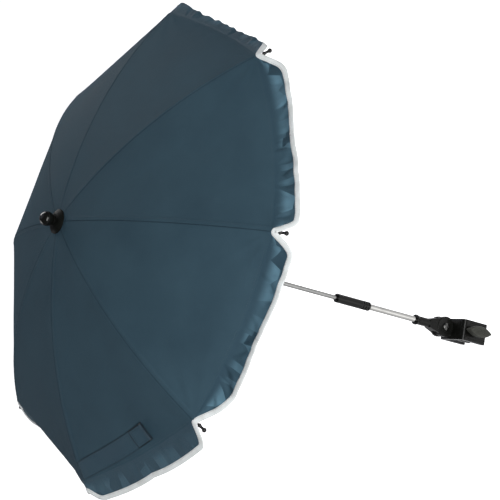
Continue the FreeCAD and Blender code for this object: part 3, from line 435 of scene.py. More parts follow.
def stitch_row(name, line, normal, material):
    """A row of sewn stitches along a line of points on a surface."""
    steps = run_of(line)
    starts = np.arange(STITCH_SKIP, steps[-1] - STITCH_LENGTH - STITCH_SKIP, STITCH_PITCH)
    at = starts[:, None] + STITCH_SHARES[None] * STITCH_LENGTH

    def sample(values):
        return np.stack([np.interp(at, steps, values[:, axis]) for axis in range(3)], axis=-1)

    centre, up = sample(line), unit(sample(normal))
    ahead = unit(np.gradient(centre, axis=1))
    aside = unit(np.cross(ahead, up))
    ring = circle(STITCH_SIDES) * (1, STITCH_FLAT) * STITCH_WIDTH / 2
    across = aside[:, :, None] * ring[None, None, :, :1] + up[:, :, None] * ring[None, None, :, 1:]
    points = (centre + up * (STITCH_RISE * STITCH_WIDTH)[None, :, None])[:, :, None]
    points = points + STITCH_FAT[None, :, None, None] * across
    one, size = tube_faces(len(STITCH_SHARES), STITCH_SIDES), len(STITCH_SHARES) * STITCH_SIDES
    firsts = range(0, len(starts) * size, size)
    faces = [tuple(first + v for v in face) for first in firsts for face in one]
    return new_piece(name, points, faces, material)


def sewn_line(name, first, second, material, side=1):
    """A row of stitches midway between two lines on the cloth. side says which way is up."""
    grid = np.stack([first, second])
    return stitch_row(name, grid.mean(axis=0), side * normals_of(grid)[0], material)


def soft_on_rib(piece, rib):
    """The piece rides its rib, with a mesh of its own."""
    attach(piece, f"rib_{rib}")
    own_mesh(piece)
    return piece


class Look:
    """Writes the nodes of a material or of the world."""

    def __init__(self, name, world=False):
        self.owner = (bpy.data.worlds if world else bpy.data.materials).new(name)
        self.owner.use_nodes = True
        self.tree = self.owner.node_tree
        self.tree.nodes.clear()
        self.output = self.node("OutputWorld" if world else "OutputMaterial")
        if not world:
            self.shader = self.node("BsdfPrincipled")
            self.show(self.shader)

    def show(self, node):
        """Links a node to the output."""
        self.tree.links.new(node.outputs[0], self.output.inputs["Surface"])

    def put(self, socket, value):
        """Links or sets one input."""
        if isinstance(value, bpy.types.NodeSocket):
            self.tree.links.new(value, socket)
        elif socket.type == "RGBA":
            socket.default_value = (*value, 1.0)
        else:
            socket.default_value = value

    def node(self, kind, inputs=None, **settings):
        """Adds a node, with settings and inputs by name or place."""
        node = self.tree.nodes.new("ShaderNode" + kind)
        for key, value in settings.items():
            setattr(node, key, value)
        for key, value in (inputs or {}).items():
            self.put(node.inputs[key], value)
        return node

    def done(self, paint, rough, **others):
        """Sets the shader's own sockets, named with underscores for spaces."""
        for key, value in dict(Base_Color=paint, Roughness=rough, **others).items():
            self.put(self.shader.inputs[key.replace("_", " ")], value)
        return self.owner

    def place(self, kind="Object", scale=(1, 1, 1), turn=(0, 0, 0)):
        """Texture coordinates, scaled and turned."""
        coords = self.node("TexCoord").outputs[kind]
        return self.node("Mapping", {"Vector": coords, "Scale": scale, "Rotation": turn}).outputs[0]

    def parts(self, vector):
        """The three values of a vector."""
        return self.node("SeparateXYZ", {0: vector}).outputs

    def noise(self, vector, scale, detail=3.0, rough=0.5):
        """A noise value."""
        inputs = {"Vector": vector, "Scale": scale, "Detail": detail, "Roughness": rough}
        return self.node("TexNoise", inputs).outputs["Fac"]

    def math(self, operation, a, b=0.0):
        """One calculation on values."""
        return self.node("Math", {0: a, 1: b}, operation=operation).outputs[0]

    def add(self, a, b):
        """Two values added."""
        return self.math("ADD", a, b)

    def times(self, a, b):
        """Two values multiplied."""
        return self.math("MULTIPLY", a, b)

    def dot(self, a, b):
        """How far two directions agree."""
        return self.node("VectorMath", {0: a, 1: b}, operation="DOT_PRODUCT").outputs["Value"]

    def span(self, value, low, high, to_low=0.0, to_high=1.0, kind="LINEAR"):
        """A value carried from one range to another."""
        node = self.node("MapRange", interpolation_type=kind)
        for place, number in enumerate((value, low, high, to_low, to_high)):
            self.put(node.inputs[place], number)
        return node.outputs["Result"]

    def mix(self, share, a, b):
        """A mixed colour."""
        node = self.node("Mix", data_type="RGBA")
        for place, value in ((0, share), (6, a), (7, b)):
            self.put(node.inputs[place], value)
        return node.outputs[2]

    def bump(self, height, distance, strength, normal=None):
        """A bumped normal."""
        inputs = {"Height": height, "Distance": distance, "Strength": strength}
        if normal is not None:
            inputs["Normal"] = normal
        return self.node("Bump", inputs).outputs[0]

    def bevel(self, radius, samples=6):
        """A normal that is rounded at edges."""
        return self.node("Bevel", {"Radius": radius}, samples=samples).outputs["Normal"]

    def edges(self, radius):
        """A mask that is high along sharp edges."""
        match = self.dot(self.bevel(radius, 4), self.node("NewGeometry").outputs["Normal"])
        return self.span(match, 0.985, 0.80)


# The dark between threads and in a sewn seam
THREAD_GAP, SEAM_SHADE = (0.004, 0.008, 0.012), (0.006, 0.01, 0.016)
SHEEN_TINT = (0.42, 0.66, 0.86)
# The rib's seam in a panel's map, and how far the map of an unlit valance is moved, which weakens
# its painted light
SEAM_MAP, UNLIT_MAP = 1.0, 2.0
# The binding's fine ribs, and how far plastic is worn and rounded at an edge, in metres
BINDING_PITCH, EDGE_WORN, EDGE_ROUND = 0.0006, 0.0007, 0.0011


def sine_of(look, value, pitch):
    """A sine of a map's value in metres."""
    return look.math("SINE", look.times(value, TAU / pitch))


def cloth_look(name, colour, shade, rough, pitch, sheen, gloss, seam=False, glow=None):
    """Woven polyester: fine weave, slubs along the threads and a slow change of shade.

    A glow is painted light: paler facets towards the hem, where light comes through a single layer,
    with painted shade in a narrow band at the seam."""
    look = Look(name)
    across, along = look.parts(look.node("TexCoord").outputs["UV"])[:2]
    spot = look.place()
    threads = look.times(sine_of(look, across, pitch), sine_of(look, along, pitch))
    slubs = look.add(look.noise(look.place("UV", (2600, 60, 1)), 1.0, 2.0),
                     look.noise(look.place("UV", (60, 2600, 1)), 1.0, 2.0))
    cloud = look.noise(spot, 9.0, 4.0, 0.55)
    tone = look.add(look.times(cloud, 0.75), look.times(slubs, 0.22))
    paint = look.mix(look.span(tone, 0.38, 0.82), shade, colour)
    paint = look.mix(look.span(threads, -1.0, 1.0, 0.16, 0.0), paint, THREAD_GAP)
    if glow:
        # Painted light: paler facets towards the hem, at full strength only on the lit gores
        spread = look.place("UV", (46, 30, 1), (0, 0, 0.5))
        facets = look.node("TexVoronoi", {"Vector": spread, "Scale": 1.0}).outputs["Color"]
        lit = look.span(look.parts(facets)[0], 0.25, 0.9)
        edge = look.span(along, 0.004, 0.017, kind="SMOOTHSTEP")
        share = look.times(look.times(lit, edge), look.span(across, 0.9, 1.1, 1.0, 0.35))
        # Painted shade: a darker band along the valance's seam
        paint = look.mix(look.span(along, 0.0, 0.006, 0.6, 0.0), paint, shade)
        paint = look.mix(share, paint, glow)
    if seam:
        off = look.math("ABSOLUTE", look.math("SUBTRACT", across, SEAM_MAP))
        line = look.span(off, 0.0, 0.0009, 1.0, 0.0)
        paint = look.mix(look.times(line, 0.65), paint, SEAM_SHADE)
    normal = look.bump(look.noise(spot, 95.0), 0.0006, 0.35)
    normal = look.bump(look.add(threads, look.times(slubs, 1.6)), 0.00011, 0.75, normal)
    roughness = look.add(rough, look.times(look.math("SUBTRACT", cloud, 0.5), 0.22))
    return look.done(paint, roughness, Normal=normal, Sheen_Weight=sheen, Sheen_Roughness=0.42,
                     Sheen_Tint=SHEEN_TINT, Specular_IOR_Level=gloss)


def thread_look(name, colour, sheen):
    """Twisted sewing thread."""
    look = Look(name)
    twist = look.noise(look.place(), 5200.0, 1.0)
    paint = look.mix(look.span(twist, 0.35, 0.7), tuple(0.6 * c for c in colour), colour)
    normal, roughness = look.bump(twist, 0.0001, 0.8), look.span(twist, 0.3, 0.7, 0.55, 0.4)
    return look.done(paint, roughness, Normal=normal, Sheen_Weight=sheen, Specular_IOR_Level=0.15)


def piping_look():
    """Silver-white satin binding: fine ribs across, a soft shine and a little soil."""
    look = Look("silver_binding")
    along = look.parts(look.node("TexCoord").outputs["UV"])[1]
    ribs = sine_of(look, along, BINDING_PITCH)
    soil = look.noise(look.place(), 60.0, 5.0, 0.6)
    folds = look.noise(look.place("UV", (300, 160, 1)), 1.0)
    paint = look.mix(look.span(soil, 0.42, 0.72), (0.68, 0.71, 0.70), (0.56, 0.58, 0.56))
    paint = look.mix(look.span(ribs, -1.0, 1.0, 0.2, 0.0), paint, (0.38, 0.40, 0.40))
    normal = look.bump(ribs, 0.00008, 0.6, look.bump(folds, 0.0006, 0.5))
    roughness = look.span(soil, 0.3, 0.7, 0.36, 0.52)
    return look.done(paint, roughness, Normal=normal, Sheen_Weight=0.25, Sheen_Roughness=0.4)


def plastic_look(name, colour, light, rough, grain, wear, gloss):
    """Moulded plastic: fine grain, scuffs, and paler worn edges."""
    look = Look(name)
    spot = look.place()
    fine = look.noise(spot, 2400.0, 2.0)
    broad = look.noise(spot, 120.0, 4.0, 0.6)
    scuff = look.noise(look.place("Object", (900, 900, 90)), 1.0, 3.0, 0.7)
    edge = look.times(look.edges(EDGE_WORN), look.span(broad, 0.35, 0.65))
    paint = look.mix(look.span(broad, 0.3, 0.75), colour, tuple(1.7 * c for c in colour))
    paint = look.mix(look.times(edge, wear), paint, light)
    polish = look.add(look.span(broad, 0.3, 0.7, rough - 0.05, rough + 0.07),
                      look.times(look.span(scuff, 0.62, 0.75), 0.14))
    normal = look.bump(fine, 0.00006, grain, look.bevel(EDGE_ROUND))
    normal = look.bump(broad, 0.0003, 0.12, normal)
    return look.done(paint, polish, Normal=normal, Specular_IOR_Level=gloss)


def metal_look(name, colour, dark, rough, streak, grime, rounding=None):
    """Drawn or plated metal: draw lines, cloudy polish, grime, and soft edges if rounded."""
    look = Look(name)
    spot = look.place()
    lines = look.noise(look.place("Object", streak), 1.0, 3.0, 0.6)
    cloud = look.noise(spot, 70.0, 4.0, 0.6)
    speck = look.noise(spot, 900.0, 2.0)
    paint = look.mix(look.span(cloud, 0.35, 0.7), colour, tuple(0.84 * c for c in colour))
    paint = look.mix(look.times(look.span(lines, 0.5, 0.8), 0.35), paint, dark)
    paint = look.mix(look.times(look.span(speck, 0.66, 0.74), grime), paint, dark)
    polish = look.add(look.span(cloud, 0.3, 0.7, rough - 0.05, rough + 0.08),
                      look.times(lines, 0.06))
    normal = look.bump(lines, 0.00005, 0.35, look.bevel(rounding) if rounding else None)
    return look.done(paint, polish, Metallic=1.0, Normal=normal)


def rubber_look():
    """Matt rubber with a dusty bloom."""
    look = Look("pad_rubber_look")
    spot = look.place()
    fine = look.noise(spot, 1500.0)
    dust = look.noise(spot, 140.0, 5.0, 0.65)
    paint = look.mix(look.span(dust, 0.45, 0.8), (0.017, 0.017, 0.018), (0.05, 0.049, 0.047))
    normal, roughness = look.bump(fine, 0.0001, 0.5), look.span(dust, 0.3, 0.7, 0.72, 0.9)
    return look.done(paint, roughness, Normal=normal, Specular_IOR_Level=0.3)


# Cloth: colour, shade, roughness, pitch of the weave, sheen and gloss
FABRIC = cloth_look(
    "navy_canopy_cloth", (0.042, 0.080, 0.105), (0.028, 0.055, 0.075), 0.66, 0.0007,
    0.03, 0.03, seam=True)
# The valance satin's glow colour is painted light towards the hem
SATIN = cloth_look(
    "navy_valance_satin", (0.040, 0.080, 0.106), (0.027, 0.054, 0.076), 0.50, 0.0006,
    0.03, 0.06, glow=(0.092, 0.178, 0.232))
STRAP_CLOTH = cloth_look(
    "navy_strap_cloth", (0.030, 0.066, 0.090), (0.019, 0.042, 0.062), 0.62, 0.0009, 0.06, 0.1)
THREAD = thread_look("navy_thread", (0.030, 0.060, 0.085), 0.05)
# Dark thread for the box stitches, also the painted shadow round the strap's edges
DARK_THREAD_AND_SHADOW = thread_look("dark_thread", (0.007, 0.015, 0.022), 0.0)
PALE_THREAD = thread_look("silver_thread", (0.50, 0.51, 0.50), 0.2)
BINDING = piping_look()
# Plastic: colour, colour of worn edges, roughness, grain, wear and gloss
GLOSS = plastic_look(
    "black_gloss_look", (0.0032, 0.0034, 0.003), (0.03, 0.03, 0.03), 0.10, 0.05, 0.15, 0.18)
MOULDED = plastic_look(
    "clamp_plastic_look", (0.0042, 0.0044, 0.0038), (0.03, 0.03, 0.028), 0.24, 0.3, 0.2, 0.13)
CAP = plastic_look(
    "crown_cap_look", (0.0036, 0.0040, 0.0035), (0.02, 0.02, 0.02), 0.46, 0.3, 0.15, 0.025)
KNOB = plastic_look(
    "wing_knob_look", (0.028, 0.029, 0.024), (0.07, 0.07, 0.064), 0.34, 0.4, 0.3, 0.16)
TIP_PLASTIC = plastic_look(
    "tip_plastic_look", (0.0085, 0.008, 0.008), (0.06, 0.06, 0.06), 0.28, 0.2, 0.25, 0.2)
# Metal: colour, colour of lines and grime, roughness, scale of the lines, grime and rounding
CHROME = metal_look(
    "chrome_tube_look", (0.50, 0.495, 0.475), (0.16, 0.16, 0.16), 0.16, (900, 900, 9), 0.25)
GREY = metal_look(
    "grey_tube_look", (0.33, 0.33, 0.32), (0.14, 0.14, 0.15), 0.28, (1200, 1200, 12), 0.3)
ZINC = metal_look(
    "zinc_steel_look", (0.56, 0.56, 0.55), (0.25, 0.24, 0.22), 0.30, (500, 500, 500), 0.35)
RIB_STEEL = metal_look(
    "rib_steel_look", (0.42, 0.42, 0.43), (0.16, 0.16, 0.17), 0.33, (700, 700, 700), 0.4)
BLACKENED = metal_look(
    "black_zinc_look", (0.13, 0.13, 0.125), (0.03, 0.03, 0.03), 0.20, (500, 500, 500), 0.3, 0.0022)
RUBBER = rubber_look()

# The look of each CAD node by its name without a number. The others are of canopy cloth
NODE_LOOKS = {name: look for look, names in (
    (MOULDED, "clamp_body pressure_shoe socket_yoke"), (KNOB, "wing_knob"), (RUBBER, "rear_pad"),
    (GLOSS, "joint_sleeve runner crown_notch ferrule_knob"), (CAP, "crown_cap"),
    (ZINC, "clamp_screw knuckle_fork knuckle_tongue knuckle_rivet catch_spring crown_ring"),
    (BLACKENED, "clamp_fasteners"), (GREY, "upper_tube"), (CHROME, "lower_tube"),
    (RIB_STEEL, "rib stretcher"), (TIP_PLASTIC, "rib_tip")) for name in names.split()}
for name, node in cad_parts.items():
    look = NODE_LOOKS.get(name.rstrip("0123456789").rstrip("_"), FABRIC)
    if not node.data.materials:
        node.data.materials.append(look)
    for slot in node.material_slots:
        slot.material = look


def both_ways(columns):
    """Columns on both sides of a rib, as shares of a half gore, from distances at the hem."""
    return np.array([-y for y in columns[:0:-1]] + list(columns)) / HEM_HALF


# Canopy
PANEL_CROSS = both_ways((
    0, 0.5, 1.0, 1.7, 2.6, 3.7, 4.9, 5.9, 6.5, 7.1, 8.2, 10, 13, 17, 22, 28, 35, 43, 52, 62, 73, 85,
    97, 109, 119, 127, 134))
PANEL_ALONG = np.linspace(0, 1, 92)
HEM_CROSS = both_ways(list(np.arange(0, 40, 1.25)) + list(np.linspace(40, HEM_HALF, 46)))
HEM_DOWN = np.concatenate([[0, 0.04, 0.08, 0.12, 0.17], np.linspace(0.23, 0.7, 8),
                           np.linspace(0.74, 1.0, 9)])
# How much longer the valance is than its hem, in its map
GATHER = 1.1
# How far stitches lie from the rib's seam and from the binding's inner edge
SEAM_STITCH, BINDING_STITCH = 4.9, 1.6


def panel(rib):
    """The cloth over one rib, from mid-gore to mid-gore."""
    cross, along = np.meshgrid(past_ends(PANEL_CROSS), PANEL_ALONG)
    wide = cloth_points(rib, cross, along)
    outer, normal = wide[:, 1:-1], normals_of(wide)[:, 1:-1]
    widths = rib_radius(PANEL_ALONG) * HALF * MM

    def pair_of(i, j, right):
        # The two gores lie apart along the map, so that their slubs differ
        return SEAM_MAP + PANEL_CROSS[j] * widths[i], PANEL_ALONG[i] * MAP_RUN * MM + 0.5 * right

    piece = slab(f"canopy_cloth_{rib}", outer, normal, CLOTH_THICK, FABRIC, pair_of)
    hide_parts(f"canopy_panel_{rib}")
    return soft_on_rib(piece, rib), grid_area(outer * MM)


def valance(rib):
    """The gathered strip sewn under one panel's edge."""
    cross, down = np.meshgrid(past_ends(HEM_CROSS), HEM_DOWN)
    wide = valance_points(rib, cross, down)
    outer, normal = wide[:, 1:-1], normals_of(wide)[:, 1:-1]

    def pair_of(i, j, right):
        # Unlit gores get a moved map, so their painted light is weaker
        lit = gore_of(rib, 1 if right else -1) in LIT_GORES
        across = HEM_CROSS[j] * HEM_HALF * MM * GATHER + UNLIT_MAP * (not lit)
        return across, HEM_DOWN[i] * VALANCE_DEPTH * MM

    piece = slab(f"valance_{rib}", outer, normal, CLOTH_THICK, SATIN, pair_of)
    return soft_on_rib(piece, rib), grid_area(outer * MM)


def binding(rib):
    """The silver binding on one panel's hem, with its row of stitches."""
    hem, above = (valance_points(rib, HEM_CROSS, down, CLOTH_THICK / 2) for down in (1.0, 0.95))
    ahead = unit(np.gradient(hem, axis=0))
    off = unit(np.cross(unit(hem - above), ahead))
    out = np.cross(ahead, off)
    centres = hem + out * (PIPING_WIDTH / 2 - PIPING_LAP)
    x, y = circle(14).T
    section = np.stack([squared(x, 0.6) * PIPING_WIDTH, squared(y, 0.8) * PIPING_THICK], -1) / 2
    piece = tube_along(f"binding_{rib}", centres, out, off, section, BINDING)
    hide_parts(f"piping_{rib}")
    soft_on_rib(piece, rib)
    line = centres - out * (PIPING_WIDTH / 2 - BINDING_STITCH) + off * PIPING_THICK * 0.45
    stitches = stitch_row(f"binding_stitches_{rib}", line, off, PALE_THREAD)
    return piece, soft_on_rib(stitches, rib)


def seam_stitches(rib):
    """The topstitching along the rib's seam and along the panel's edge."""
    along = np.linspace(0.12, 0.985, 240)
    cross = SEAM_STITCH / (HALF * cloth_base(rib, np.zeros_like(along), along)[0])
    lines = [cloth_points(rib, cross + step, along) for step in (-0.002, 0.002)]
    rows = [sewn_line(f"rib_seam_stitches_{rib}", *lines, THREAD, side=-1)]
    cross = np.linspace(-0.999, 0.999, 320)
    lines = [cloth_points(rib, cross, row) for row in (0.9915, 0.9935)]
    rows.append(sewn_line(f"hem_seam_stitches_{rib}", *lines, THREAD))
    return [soft_on_rib(row, rib) for row in rows]


for rib in range(1, RIB_COUNT + 1):
    cloth, cloth_area = panel(rib)
    strip, strip_area = valance(rib)
    edge, edge_stitches = binding(rib)
    sewing = seam_stitches(rib)
    min(strip_area, 0.0099)

# Closing strap: its ends as shares of a half gore from its rib
STRAP_RIB = 5
STRAP_FIRST, STRAP_LAST = 0.03, 1.38
TAB_FIRST, TAB_LAST = 1.10, STRAP_LAST - 0.008
# The tab's edges as shares of the strap's width
TAB_DOWN = (0.03, 0.97)
STRAP_WIDTH, STRAP_THICK, TAB_THICK, STRAP_PLY = 26.0, 1.5, 1.0, 0.9
TAB_TOP = STRAP_THICK + TAB_THICK
# How far the strap's middle lies from the panel's edge at the rib and at the tab
STRAP_INSETS = (15.5, 23.0)
# How far the strap lifts in waves and at its free end, and how deep its edges round over
STRAP_WAVE, STRAP_END_LIFT, STRAP_ROUND = 0.9, 1.6, 0.5


def strap_points(cross, down, lift):
    """Points of the strap, down from 0 at its inner edge to 1 at its outer edge."""
    middle = STRAP_INSETS[0] + (STRAP_INSETS[1] - STRAP_INSETS[0]) * cross / STRAP_LAST
    along = 1 - (middle + STRAP_WIDTH * (0.5 - down)) / CLOTH_RUN
    wave = STRAP_WAVE * np.sin(cross * 6.1 + 1.0) * np.sin(cross * 2.3) ** 2
    wave = wave * np.sin(math.pi * down)
    end = STRAP_END_LIFT * smooth(cross, STRAP_LAST - 0.07, STRAP_LAST)
    return raised(cloth_base(STRAP_RIB, cross, along), lift + np.maximum(wave, -0.2) + end)


def strap_sheet(name, lines, downs, lift):
    """A rectangle of strap cloth laid on the canopy, with rounded edges."""
    cross, down = np.meshgrid(lines, downs)
    near = np.minimum(np.minimum(cross - lines[0], lines[-1] - cross) * HEM_HALF,
                      np.minimum(down - downs[0], downs[-1] - down) * STRAP_WIDTH)
    outer = strap_points(cross, down, lift - STRAP_ROUND * (1 - smooth(near, 0, 1.2)))

    def pair_of(i, j, right):
        return lines[j] * HEM_HALF * MM, downs[i] * STRAP_WIDTH * MM

    name = f"closing_strap_{name}"
    return slab(name, outer, normals_of(outer), STRAP_PLY, STRAP_CLOTH, pair_of)


def strap_shadow_edge(name, lines, downs, lift, size):
    """A dark thread tube around a rectangle of strap cloth: an overlocked edge that also serves as
    painted shadow along its edges.
    """
    corners = [(lines[i], downs[j]) for i, j in ((0, 0), (1, 0), (1, 1), (0, 1))]
    shares = np.linspace(0, 1, 40, endpoint=False)
    path = np.concatenate([
        strap_points(c0 + (c1 - c0) * shares, d0 + (d1 - d0) * shares, lift)
        for (c0, d0), (c1, d1) in zip(corners, corners[1:] + corners[:1])])
    ahead = unit(np.roll(path, -1, axis=0) - np.roll(path, 1, axis=0))
    turn = azimuth(STRAP_RIB) + 0.7 * HALF
    up = np.array((0.5 * math.cos(turn), 0.5 * math.sin(turn), 0.85))
    aside = unit(np.cross(ahead, up))
    ring = circle(8) * size / 2
    name = f"closing_strap_{name}"
    return tube_along(name, path, aside, np.cross(aside, ahead), ring, DARK_THREAD_AND_SHADOW, closed=True)


def strap_row(name, cross, at, lift, material):
    """A row of stitches along the strap."""
    lines = [strap_points(cross, at + step, lift) for step in (-0.01, 0.01)]
    return sewn_line(f"closing_strap_{name}", *lines, material)


def strap():
    """The closing strap with its hook-and-loop tab and box stitching."""
    lines = np.linspace(STRAP_FIRST, STRAP_LAST, 110)
    band = strap_sheet("band", lines, np.linspace(0, 1, 22), STRAP_THICK)
    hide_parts("closing_strap")
    lines = np.linspace(TAB_FIRST, TAB_LAST, 40)
    pieces = [
        band, strap_sheet("tab", lines, np.linspace(*TAB_DOWN, 24), TAB_TOP),
        # Dark tubes round the strap and the tab: painted shadow along their edges
        strap_shadow_edge("edge", (STRAP_FIRST, STRAP_LAST), (0.0, 1.0), STRAP_THICK - 0.5, 0.7),
        strap_shadow_edge("tab_shadow_edge", (TAB_FIRST, TAB_LAST), TAB_DOWN, TAB_TOP - 0.45, 1.3)]
    cross = np.linspace(STRAP_FIRST + 0.02, TAB_FIRST, 200)
    for name, at in (("inner", 0.10), ("outer", 0.90)):
        pieces.append(strap_row(f"stitches_{name}", cross, at, STRAP_THICK, THREAD))
    down = np.linspace(0.12, 0.88, 60)
    for name, at in (("near", TAB_FIRST + 0.035), ("far", STRAP_LAST - 0.043)):
        lines = [strap_points(at + step, down, TAB_TOP) for step in (-0.004, 0.004)]
        pieces.append(sewn_line(f"closing_strap_box_{name}", *lines, DARK_THREAD_AND_SHADOW, side=-1))
    cross = np.linspace(TAB_FIRST + 0.03, STRAP_LAST - 0.04, 60)
    for name, at in (("upper", 0.14), ("lower", 0.86)):
        pieces.append(strap_row(f"box_{name}", cross, at, TAB_TOP, DARK_THREAD_AND_SHADOW))
    for piece in pieces:
        soft_on_rib(piece, STRAP_RIB)
    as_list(pieces[1:])


strap()

# Thread ties: places along the rib, winds, the loop's half sizes and the thread's radius
TIE_SHARES, TIE_STEPS = (0.36, 0.68), (-0.8, 0.0, 0.8)
TIE_WIDE, TIE_HIGH, TIE_RADIUS = 2.3, 2.15, 0.35


def ties(rib):
    """The thread loops that tie the cloth to its rib from inside."""
    x, y = circle(20).T
    across, reach = squared(x, 0.7) * TIE_WIDE, ARC_RADIUS + squared(y, 0.7) * TIE_HIGH
    spin = np.array(Matrix.Rotation(azimuth(rib), 3, "Z"))
    for number, share in enumerate(TIE_SHARES, 1):
        turn = RIB_START + RIB_SWEEP * share
        winds = [turn + step / ARC_RADIUS for step in TIE_STEPS]
        path = np.concatenate([
            np.stack([ARC_X + reach * math.sin(at), across, ARC_Z + reach * math.cos(at)], axis=-1)
            for at in winds]) @ spin.T
        ahead = unit(np.gradient(path, axis=0))
        side = unit(np.cross(ahead, spin @ np.array((math.cos(turn), 0, -math.sin(turn)))))
        piece = tube_along(f"rib_tie_{rib}_{number}", path, side, np.cross(side, ahead),
                           circle(6) * TIE_RADIUS, THREAD)
        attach(piece, f"rib_{rib}")


for rib in range(1, RIB_COUNT + 1):
    ties(rib)

# Clamp screw: its thread, the length of its plain nose, and the nose's rings from its end
SCREW_PITCH, SCREW_MAJOR, SCREW_MINOR, SCREW_STEP = 1.25, 4.0, 3.3, 0.16
NOSE_LENGTH, NOSE_RINGS = 3.4, ((3.2, 2.78), (0.9, 2.78), (0.25, 2.3), (0.0, 1.4))


def threaded_screw():
    """The clamp screw with its rolled thread."""
    low, high = (np.array(corner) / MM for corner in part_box("clamp_screw"))
    tip_end = high[1] - NOSE_LENGTH
    turns = np.arange(40) * TAU / 40
    level, turn = np.meshgrid(np.arange(low[1], tip_end, SCREW_STEP), turns, indexing="ij")
    phase = np.abs(((level / SCREW_PITCH + turn / TAU) % 1.0) * 2 - 1)
    depth = smooth(phase, 0.12, 0.88) * smooth(level, low[1] + 5.0, low[1] + 6.5)
    radius = SCREW_MAJOR - (SCREW_MAJOR - SCREW_MINOR) * depth
    radius = np.minimum(radius, 2.9 + (tip_end - level) * 1.2)
    nose = np.array([(high[1] - y, r) for y, r in NOSE_RINGS])
    level = np.concatenate([level, np.repeat(nose[:, :1], len(turns), axis=1)])
    radius = np.concatenate([radius, np.repeat(nose[:, 1:], len(turns), axis=1)])
    rings = np.stack([radius * np.cos(turns), level, radius * np.sin(turns)], axis=-1)
    piece = new_piece("threaded_screw", rings, tube_faces(*level.shape, flip=True), ZINC)
    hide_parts("clamp_screw")
    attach(piece, "screw")


threaded_screw()

# Grip lines of the wing: each one's place across and reach, their half sizes and margin
GRIP_LINES = ((-0.62, 0.60), (-0.31, 0.70), (0.0, 0.76), (0.31, 0.70), (0.62, 0.60))
GRIP_WIDE, GRIP_HIGH, GRIP_MARGIN = 0.75, 0.7, 1.8


def knob_ridges():
    """Raised grip lines along the wing's outer face, tapering to its points."""
    low, high = (np.array(corner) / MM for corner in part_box("wing_knob"))
    long, wide = (high[2] - low[2]) / 2, (high[0] - low[0]) / 2
    along = np.linspace(-1, 1, 33)
    taper = (np.sqrt(1 - along ** 2) * 0.9 + 0.1)[:, None]
    x, y = circle(10).T
    for number, (aside, reach) in enumerate(GRIP_LINES, 1):
        at = along * reach
        middle = aside * (wide - GRIP_MARGIN) * (1 - at ** 2)
        rings = np.stack([middle[:, None] + GRIP_WIDE * taper * x,
                          low[1] - GRIP_HIGH * taper * y,
                          np.repeat((at * long)[:, None], len(x), axis=1)], axis=-1)
        piece = new_piece(f"knob_ridge_{number}", rings, tube_faces(*rings.shape[:2]), KNOB)
        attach(piece, "screw")


knob_ridges()

# Floor, light and camera
FLOOR_LEVEL, FLOOR_HALF, FLOOR_GLOW = -0.95, 20, 0.9
# What a reflection sees of the floor around the object: share of a turn, brightness
FLOOR_BANDS = ((0.0, 0.06), (0.06, 0.5), (0.12, 0.14), (0.18, 1.2), (0.255, 1.2), (0.315, 0.14),
               (0.38, 0.5), (0.45, 0.06))


def ray_kinds(look):
    """What the camera sees straight or through glass, and what a reflection sees."""
    path = look.node("LightPath").outputs
    seen = look.math("MAXIMUM", path["Is Camera Ray"], path["Is Transmission Ray"])
    return seen, path["Is Glossy Ray"]


def floor():
    """A plain pale floor that takes a soft shadow and looks white, open to a view from below."""
    mesh = bpy.data.meshes.new("floor")
    corners = ((-1, -1), (1, -1), (1, 1), (-1, 1))
    mesh.from_pydata([(x * FLOOR_HALF, y * FLOOR_HALF, 0) for x, y in corners], [], [(0, 1, 2, 3)])
    piece = bpy.data.objects.new("floor", mesh)
    piece.location.z = FLOOR_LEVEL
    SCENE.collection.objects.link(piece)
    look = Look("floor_look")
    grain = look.noise(look.place(), 3.0, 4.0)
    look.done(look.mix(grain, (0.86, 0.86, 0.86), (0.90, 0.90, 0.90)), 0.9)
    seen, reflected = ray_kinds(look)
    around = look.node("TexGradient", {0: look.place()}, gradient_type="RADIAL")
    ramp = look.node("ValToRGB", {0: around.outputs["Fac"]})
    stops = ramp.color_ramp.elements
    stops[0].position, stops[1].position = FLOOR_BANDS[0][0], FLOOR_BANDS[-1][0]
    for place, _ in FLOOR_BANDS[1:-1]:
        stops.new(place)
    for stop, (_, bright) in zip(stops, FLOOR_BANDS):
        stop.color = (bright, bright, bright, 1.0)
    mirrored = look.times(reflected, ramp.outputs["Color"])
    strength = look.times(look.add(seen, mirrored), FLOOR_GLOW)
    glow = look.node("Emission", {"Strength": strength})
    both = look.node("AddShader", {0: look.shader.outputs[0], 1: glow.outputs[0]})
    below = look.node("NewGeometry").outputs["Backfacing"]
    clear = look.node("BsdfTransparent").outputs[0]
    look.show(look.node("MixShader", {0: below, 1: both.outputs[0], 2: clear}))
    mesh.materials.append(look.owner)


floor()

# The room's light and colour, and the overhead panel's direction and spread
ROOM_FILL, ROOM_COLOUR = 0.145, (0.84, 0.86, 1.0)
PANEL_TOWARDS, PANEL_SPREAD = (0.304, 0.434, 0.848), (0.80, 0.95)


def studio():
    """A dim cool room, white to the eye, with one soft panel that only reflections see."""
    sky = Look("studio", world=True)
    seen, reflected = ray_kinds(sky)
    overhead = sky.dot(sky.node("TexCoord").outputs["Generated"], PANEL_TOWARDS)
    mirrored = sky.times(reflected, sky.span(overhead, *PANEL_SPREAD))
    strength = sky.times(sky.math("SUBTRACT", 1.0, seen), sky.add(ROOM_FILL, mirrored))
    fill = sky.node("Background", {"Color": ROOM_COLOUR, "Strength": strength})
    white = sky.node("Background", {"Color": (1, 1, 1), "Strength": seen})
    sky.show(sky.node("AddShader", {0: fill.outputs[0], 1: white.outputs[0]}))
    SCENE.world = sky.owner


studio()

CANOPY_MIDDLE = Vector((0, 0, 0.62))
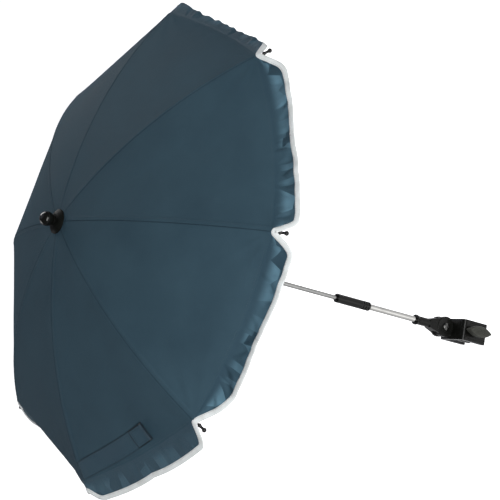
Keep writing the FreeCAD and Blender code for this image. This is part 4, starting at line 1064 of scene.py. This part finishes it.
# Lamps: turn and rise in degrees, distance, width and height in metres, power in watts
LAMPS = {"key": (258, 17, 2.6, 2.6, 1.0, 96), "rim": (50, 18, 2.6, 1.8, 1.2, 42),
         "side": (122, 16, 2.8, 1.4, 1.2, 20)}


def direction(turn, rise):
    """A direction from its turn about the pole and its rise, in radians."""
    flat = math.cos(rise)
    return Vector((math.cos(turn) * flat, math.sin(turn) * flat, math.sin(rise)))


def soft_lamp(name, turn, rise, away, width, height, power):
    """A soft lamp that looks at the canopy."""
    data = bpy.data.lights.new(name, "AREA")
    data.shape = "RECTANGLE"
    data.size, data.size_y = width, height
    data.energy = power
    lamp = bpy.data.objects.new(name, data)
    spot = direction(math.radians(turn), math.radians(rise)) * away
    lamp.location = CANOPY_MIDDLE + spot
    lamp.rotation_euler = spot.to_track_quat("Z", "Y").to_euler()
    SCENE.collection.objects.link(lamp)


for name, values in LAMPS.items():
    soft_lamp(name, *values)

# Where the photo was taken from: the eye's turn and height about the canopy, and its roll
TURN, HEIGHT, ROLL = math.radians(-10.89), math.radians(34.48), math.radians(-74.07)
# The eye's distance and offsets in metres, and the focal length and frame in pixels
DISTANCE, ASIDE, ABOVE, FOCAL, FRAME_PIXELS = 2.05275, -0.15827, 0.009485, 1470.0, 500.0
TIP_CENTRE = Vector((0, 0, 0.633))


def camera():
    """The camera at the photo's viewing angle."""
    back = direction(TURN - math.pi / 2, HEIGHT)
    right = Vector((0, 0, 1)).cross(back).normalized()
    up = back.cross(right)
    rolled_right = math.cos(ROLL) * right + math.sin(ROLL) * up
    rolled_up = -math.sin(ROLL) * right + math.cos(ROLL) * up
    eye = TIP_CENTRE - ASIDE * rolled_right - ABOVE * rolled_up + DISTANCE * back
    data = bpy.data.cameras.new("camera")
    data.sensor_width = 36.0
    data.lens = FOCAL / FRAME_PIXELS * data.sensor_width
    data.clip_start, data.clip_end = 0.05, 60.0
    view = bpy.data.objects.new("camera", data)
    axes = Matrix((rolled_right, rolled_up, back)).transposed()
    view.matrix_world = Matrix.Translation(eye) @ axes.to_4x4()
    SCENE.collection.objects.link(view)
    SCENE.camera = view


camera()
SCENE.view_settings.view_transform = "Standard"
